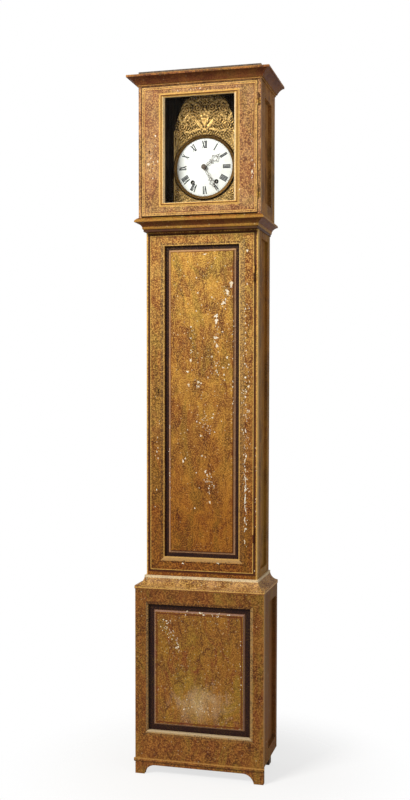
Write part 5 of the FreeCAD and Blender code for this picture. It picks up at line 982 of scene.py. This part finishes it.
class CLOCK_OT_losses(bpy.types.Operator):
    """Flake the paint off to the white ground in the places where it has gone"""
    bl_idname = "clock.losses"
    bl_label = "Paint losses"
    # Flakes in millimetres: across and height of the middle, half width, half height.
    trunk_panel = ((104, 1705, 4.8, 11.2), (90, 1679, 4.8, 10.4), (78, 1642, 5.9, 4.8), (71, 1638, 3, 3.3),
                   (84, 1654, 2.6, 3.3), (51, 1598, 6.7, 5.6), (52, 1580, 4.8, 9.7), (50, 1524, 7.4, 4.5),
                   (46, 1510, 2.6, 3.7), (54, 1496, 4.8, 5.6), (74, 1544, 3, 2.2), (-14, 1678, 3, 3),
                   (-19, 1730, 1.9, 3.3), (36, 1662, 2.2, 2.2), (-19, 1616, 2.6, 2.6),
                   (-38, 1562, 2.6, 2.2), (-38, 1482, 2.2, 2.2), (-39, 1447, 3.3, 5.2), (-50, 1408, 4.8, 3),
                   (-46, 1362, 3, 5.6), (-12, 1373, 3.7, 3.3), (-2, 1368, 2.6, 2.2), (-10, 1356, 2.6, 2.6),
                   (37, 1459, 2.2, 3), (90, 1456, 3, 4.1), (75, 1422, 3, 2.6), (96, 1432, 2.2, 2.2),
                   (60, 1397, 2.2, 1.9), (79, 1397, 2.6, 3), (39, 1250, 3, 2.6), (42, 1262, 2.2, 2.2),
                   (11, 1809, 5.6, 1.9), (-6, 1231, 3, 2), (-2, 1187, 4, 3), (-66, 1098, 2.4, 5.4),
                   (-58, 1108, 2, 3), (14, 1064, 3, 5), (20, 1052, 2.4, 3.4), (30, 958, 2.6, 4.8),
                   (26, 1006, 2.2, 2.6), (-24, 936, 2.2, 2), (2, 1118, 3, 2.4))
    trunk_door = ((160, 1816, 3, 4.5), (160, 1705, 2.2, 3.7), (154, 1620, 1.9, 3.3), (155, 1596, 1.9, 2.6),
                  (154, 1572, 1.9, 3.3), (155, 1540, 1.9, 3), (154, 1503, 1.9, 3.3), (157, 1479, 1.9, 2.6),
                  (153, 1434, 2.6, 2.6), (159, 1424, 1.9, 2.2), (155, 1388, 3.3, 3.3),
                  (166, 1357, 3.3, 4.5), (158, 1340, 3, 3), (155, 1322, 2.6, 3.3), (168, 1273, 2.6, 4.5),
                  (156, 1295, 1.9, 3), (156, 1206, 2, 6), (158, 1120, 2.2, 5), (154, 1104, 2, 9),
                  (156, 1072, 1.8, 7), (155, 1042, 2.2, 10), (156, 1008, 2, 12), (155, 974, 2, 14),
                  (156, 938, 1.8, 12), (154, 902, 2, 9), (155, 868, 1.8, 8), (154, 826, 2, 7),
                  (-160, 1130, 1.8, 4), (-66, 742, 4, 2), (60, 748, 5, 2))
    base_panel = ((-127, 548, 2.6, 2.6), (-116, 544, 3.2, 2.4), (-102, 545, 2, 2), (-137, 523, 2, 2),
                  (-92, 495, 2, 2), (-74, 456, 4.4, 2.6), (-81, 452, 2.2, 2.8), (6, 578, 5.6, 2.6),
                  (17, 572, 3.8, 2.2), (-41, 582, 3, 1.8), (108, 577, 3, 1.8), (-96, 482, 1.8, 1.8))
    # Crazed places in millimetres: across and height of the middle, spread across, spread upwards, how many.
    trunk_panel_crazed = (
        (58, 1413, 17, 26, 16), (-12, 1369, 9, 12, 8), (13, 1225, 22, 38, 22), (27, 1032, 18, 34, 22),
        (-40, 1480, 12, 60, 10), (84, 1660, 14, 40, 9), (50, 1545, 10, 40, 9), (-114, 1090, 3, 150, 14),
        (112, 1380, 3, 260, 16), (0, 1300, 70, 330, 26),
    )
    trunk_door_crazed = ((158, 1250, 13, 330, 80), (157, 990, 4.5, 120, 28), (-158, 1080, 9, 200, 12))
    trunk_face_crazed = ((191, 1000, 2, 300, 12),)
    base_panel_crazed = ((-108, 520, 20, 30, 20), (-76, 470, 8, 26, 10), (10, 250, 50, 30, 18),
                         (20, 574, 90, 5, 12), (148, 400, 3, 110, 10))
    hood_door_crazed = ((-165, 2115, 18, 40, 9), (183, 2130, 8, 110, 12), (0, 2352, 110, 6, 7))
    hood_door = ((-178, 2114, 3.6, 4.3), (-153, 2209, 2.1, 3.6), (-145, 2122, 1.8, 3.2),
                 (184, 2073, 2.5, 5), (192, 2095, 1.8, 2.8), (4, 2359, 2.8, 1.8), (141, 2016, 2.1, 2.1))

    def execute(self, context):
        # Chalk in glue: dead white and quite without gloss, gone cream where dirt has settled.
        gesso, tree, shader, where = new_material("bare_gesso_flake")
        dirt_mm = 7
        dirt = add(tree, "TexNoise", Vector=where, Scale=1 / (dirt_mm * MM), Detail=3)
        white = opaque(context.scene.clock_paint.gesso)
        plug(tree, shader, Base_Color=coat(tree, white, "#c9ae84", (dirt, 0.38, 0.66, 0, 1)), Roughness=0.9,
             Specular_IOR_Level=0.2)
        self.lay("trunk_paint_losses", "trunk_door", gesso,
                 ("trunk_door_panel", self.trunk_panel + self.crazed(self.trunk_panel_crazed, 3, 120)),
                 ("trunk_door_frame", self.trunk_door + self.crazed(self.trunk_door_crazed, 5, 178)))
        self.lay("plinth_paint_losses", "case", gesso,
                 ("base_front_panel", self.base_panel + self.crazed(self.base_panel_crazed, 7, 155)),
                 ("trunk_face_frame", self.crazed(self.trunk_face_crazed, 11, 196)))
        self.lay("hood_paint_losses", "hood_door", gesso,
                 ("hood_door_frame", self.hood_door + self.crazed(self.hood_door_crazed, 9, 196)))
        return {"FINISHED"}

    def crazed(self, places, seed, reach):
        """Many small flakes in a place: their middles are scattered as a bell curve from a fixed seed, and
        none lies further out than the reach."""
        chance = np.random.default_rng(seed)
        flakes = []
        for x, z, across, up, count in places:
            sideways, upwards = chance.normal(size=(2, count)) * 0.6
            width, height = 0.8 + 1.3 * chance.random((2, count)) ** 2
            xs = np.clip(x + sideways * across, -reach, reach)
            flakes += zip(xs, z + upwards * up, width, 1.4 * height)
        return tuple(flakes)

    def lay(self, name, body, material, *groups):
        """One piece of all the flakes on the front faces of some nodes."""
        patches = [(self.flake(number, *flake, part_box(node)[0].y), True, False)
                   for node, flakes in groups for number, flake in enumerate(flakes)]
        grid_piece(name, patches, body, material, smooth=False)

    def flake(self, number, x, z, width, reach, face):
        """A ragged patch: rings of an ellipse whose radius is broken by three sines of the angle. It lies a
        little proud of the face, with its rim sunk into it."""
        proud, sunk = 0.12 * MM, 0.1 * MM
        angle = once_round(24)[:, None]
        ragged = (1 + 0.24 * np.sin(3 * angle + number) + 0.26 * np.sin(5 * angle + 2 * number)
                  + 0.18 * np.sin(9 * angle + 3 * number))
        radius = ragged * [1.0, 0.96, 0.0]
        u, v = radius * width * np.cos(angle), radius * reach * np.sin(angle)
        tilt = 0.25 * math.sin(number * 1.7)
        across = x + u * math.cos(tilt) - v * math.sin(tilt)
        up = z + u * math.sin(tilt) + v * math.cos(tilt)
        depth = np.broadcast_to([face + sunk, face - proud, face - proud], across.shape)
        return np.stack([across * MM, depth, up * MM], axis=-1)


class CLOCK_OT_stage(bpy.types.Operator):
    """Set the floor, the lamps and the camera"""
    bl_idname = "clock.stage"
    bl_label = "Stage"

    def execute(self, context):
        settings = context.scene.clock_stage
        self.floor(settings)
        self.world(context.scene, settings)
        self.lamp("key_lamp", Vector((-2.0, -3.5, 4.0)), Vector((0, 0, 1.3)), 1.6, settings.key_power)
        self.lamp("fill_lamp", Vector((2.6, -2.2, 1.6)), Vector((0, 0, 1.2)), 1.4, settings.fill_power)
        self.camera(context.scene)
        context.scene.view_settings.view_transform = "Standard"
        return {"FINISHED"}

    def floor(self, settings):
        """A pale disc that fades out, so that only the shadow round the feet shows."""
        reach, solid, gone, glow = 4.0, 0.3, 0.8, 0.72

        def disc(tree, where):
            away = add(tree, "VectorMath", operation="LENGTH", Vector=where).outputs["Value"]
            fade = add(tree, "MapRange", interpolation_type="SMOOTHSTEP", Value=away, From_Min=solid,
                       From_Max=gone)
            matte = add(tree, "BsdfDiffuse", Color=opaque(settings.floor))
            white = add(tree, "Emission", Color=(1, 1, 1, 1), Strength=1.0)
            seen = add(tree, "LightPath").outputs["Is Camera Ray"]
            share = add(tree, "Math", operation="MULTIPLY", Value=seen, Value_001=glow)
            lit = add(tree, "MixShader", Fac=share, Shader=matte, Shader_001=white)
            return add(tree, "MixShader", Fac=fade, Shader=lit, Shader_001=add(tree, "BsdfTransparent"))

        mesh = bpy.data.meshes.new("floor")
        corners = [(-reach, -reach, 0), (reach, -reach, 0), (reach, reach, 0), (-reach, reach, 0)]
        mesh.from_pydata(corners, [], [(0, 1, 2, 3)])
        mesh.materials.append(mixed_shaders("pale_studio_floor", disc))
        plane = bpy.data.objects.new("floor", mesh)
        bpy.context.scene.collection.objects.link(plane)

    def world(self, scene, settings):
        """White where the camera or a reflection looks, and a plain dimmer light for everything else."""
        scene.world = bpy.data.worlds.new("studio")
        scene.world.use_nodes = True
        tree = scene.world.node_tree
        soft = plug(tree, tree.nodes["Background"], Color=(1, 1, 1, 1), Strength=settings.ambient)
        seen = add(tree, "Background", Color=(1, 1, 1, 1), Strength=1.0)
        path = add(tree, "LightPath").outputs
        through = path["Is Camera Ray"]
        for kind in ("Is Transmission Ray", "Is Glossy Ray"):
            through = add(tree, "Math", operation="MAXIMUM", Value=through, Value_001=path[kind])
        blend = add(tree, "MixShader", Fac=through, Shader=soft, Shader_001=seen)
        plug(tree, tree.nodes["World Output"], Surface=blend)

    def lamp(self, name, place, target, width, power):
        """A square soft box that looks at its target."""
        lamp = bpy.data.lights.new(name, "AREA")
        lamp.shape = "SQUARE"
        lamp.size = width
        lamp.energy = power
        holder = bpy.data.objects.new(name, lamp)
        holder.location = place
        holder.rotation_euler = (target - place).to_track_quat("-Z", "Y").to_euler()
        bpy.context.scene.collection.objects.link(holder)

    def camera(self, scene):
        """The photograph's view: place and turn were found from the straight edges of the case."""
        picture_height, focal_pixels, centre_drop = 800, 1062.51, 31.4
        yaw, pitch, roll = (math.radians(value) for value in (14.646, -2.454, 0.085))
        forward = Vector((-math.sin(yaw) * math.cos(pitch), math.cos(yaw) * math.cos(pitch), math.sin(pitch)))
        right = Vector((math.cos(yaw), math.sin(yaw), 0))
        up = right.cross(forward)
        turned_right = right * math.cos(roll) + up * math.sin(roll)
        turned_up = up * math.cos(roll) - right * math.sin(roll)
        data = bpy.data.cameras.new("camera")
        data.sensor_width = 36
        data.lens = focal_pixels / picture_height * data.sensor_width
        data.shift_y = centre_drop / picture_height
        data.clip_end = 50
        camera = bpy.data.objects.new("camera", data)
        basis = Matrix((turned_right, turned_up, -forward)).transposed().to_4x4()
        camera.matrix_world = Matrix.Translation((0.9366, -3.6005, 1.3591)) @ basis
        scene.collection.objects.link(camera)
        scene.camera = camera


class CLOCK_PT_panel(bpy.types.Panel):
    """Every step of the clock's dressing"""
    bl_label = "Longcase clock"
    bl_idname = "CLOCK_PT_panel"
    bl_space_type = "VIEW_3D"
    bl_region_type = "UI"
    bl_category = "Clock"

    def draw(self, context):
        for step in STEPS:
            self.layout.operator(step.bl_idname)


GROUPS = {"clock_paint": CasePaint, "clock_metal": MetalTones, "clock_dial": DialSizes,
          "clock_stage": StageSettings}
STEPS = (CLOCK_OT_case, CLOCK_OT_metal, CLOCK_OT_glass, CLOCK_OT_dial, CLOCK_OT_hands, CLOCK_OT_crest,
         CLOCK_OT_losses, CLOCK_OT_stage)


def register():
    for kind in (*GROUPS.values(), *STEPS, CLOCK_PT_panel):
        bpy.utils.register_class(kind)
    for name, kind in GROUPS.items():
        setattr(bpy.types.Scene, name, PointerProperty(type=kind))


def unregister():
    for name in GROUPS:
        delattr(bpy.types.Scene, name)
    for kind in (CLOCK_PT_panel, *reversed(STEPS), *reversed(tuple(GROUPS.values()))):
        bpy.utils.unregister_class(kind)


def main():
    register()
    for step in STEPS:
        family, action = step.bl_idname.split(".")
        getattr(getattr(bpy.ops, family), action)()


if __name__ == "__main__":
    main()
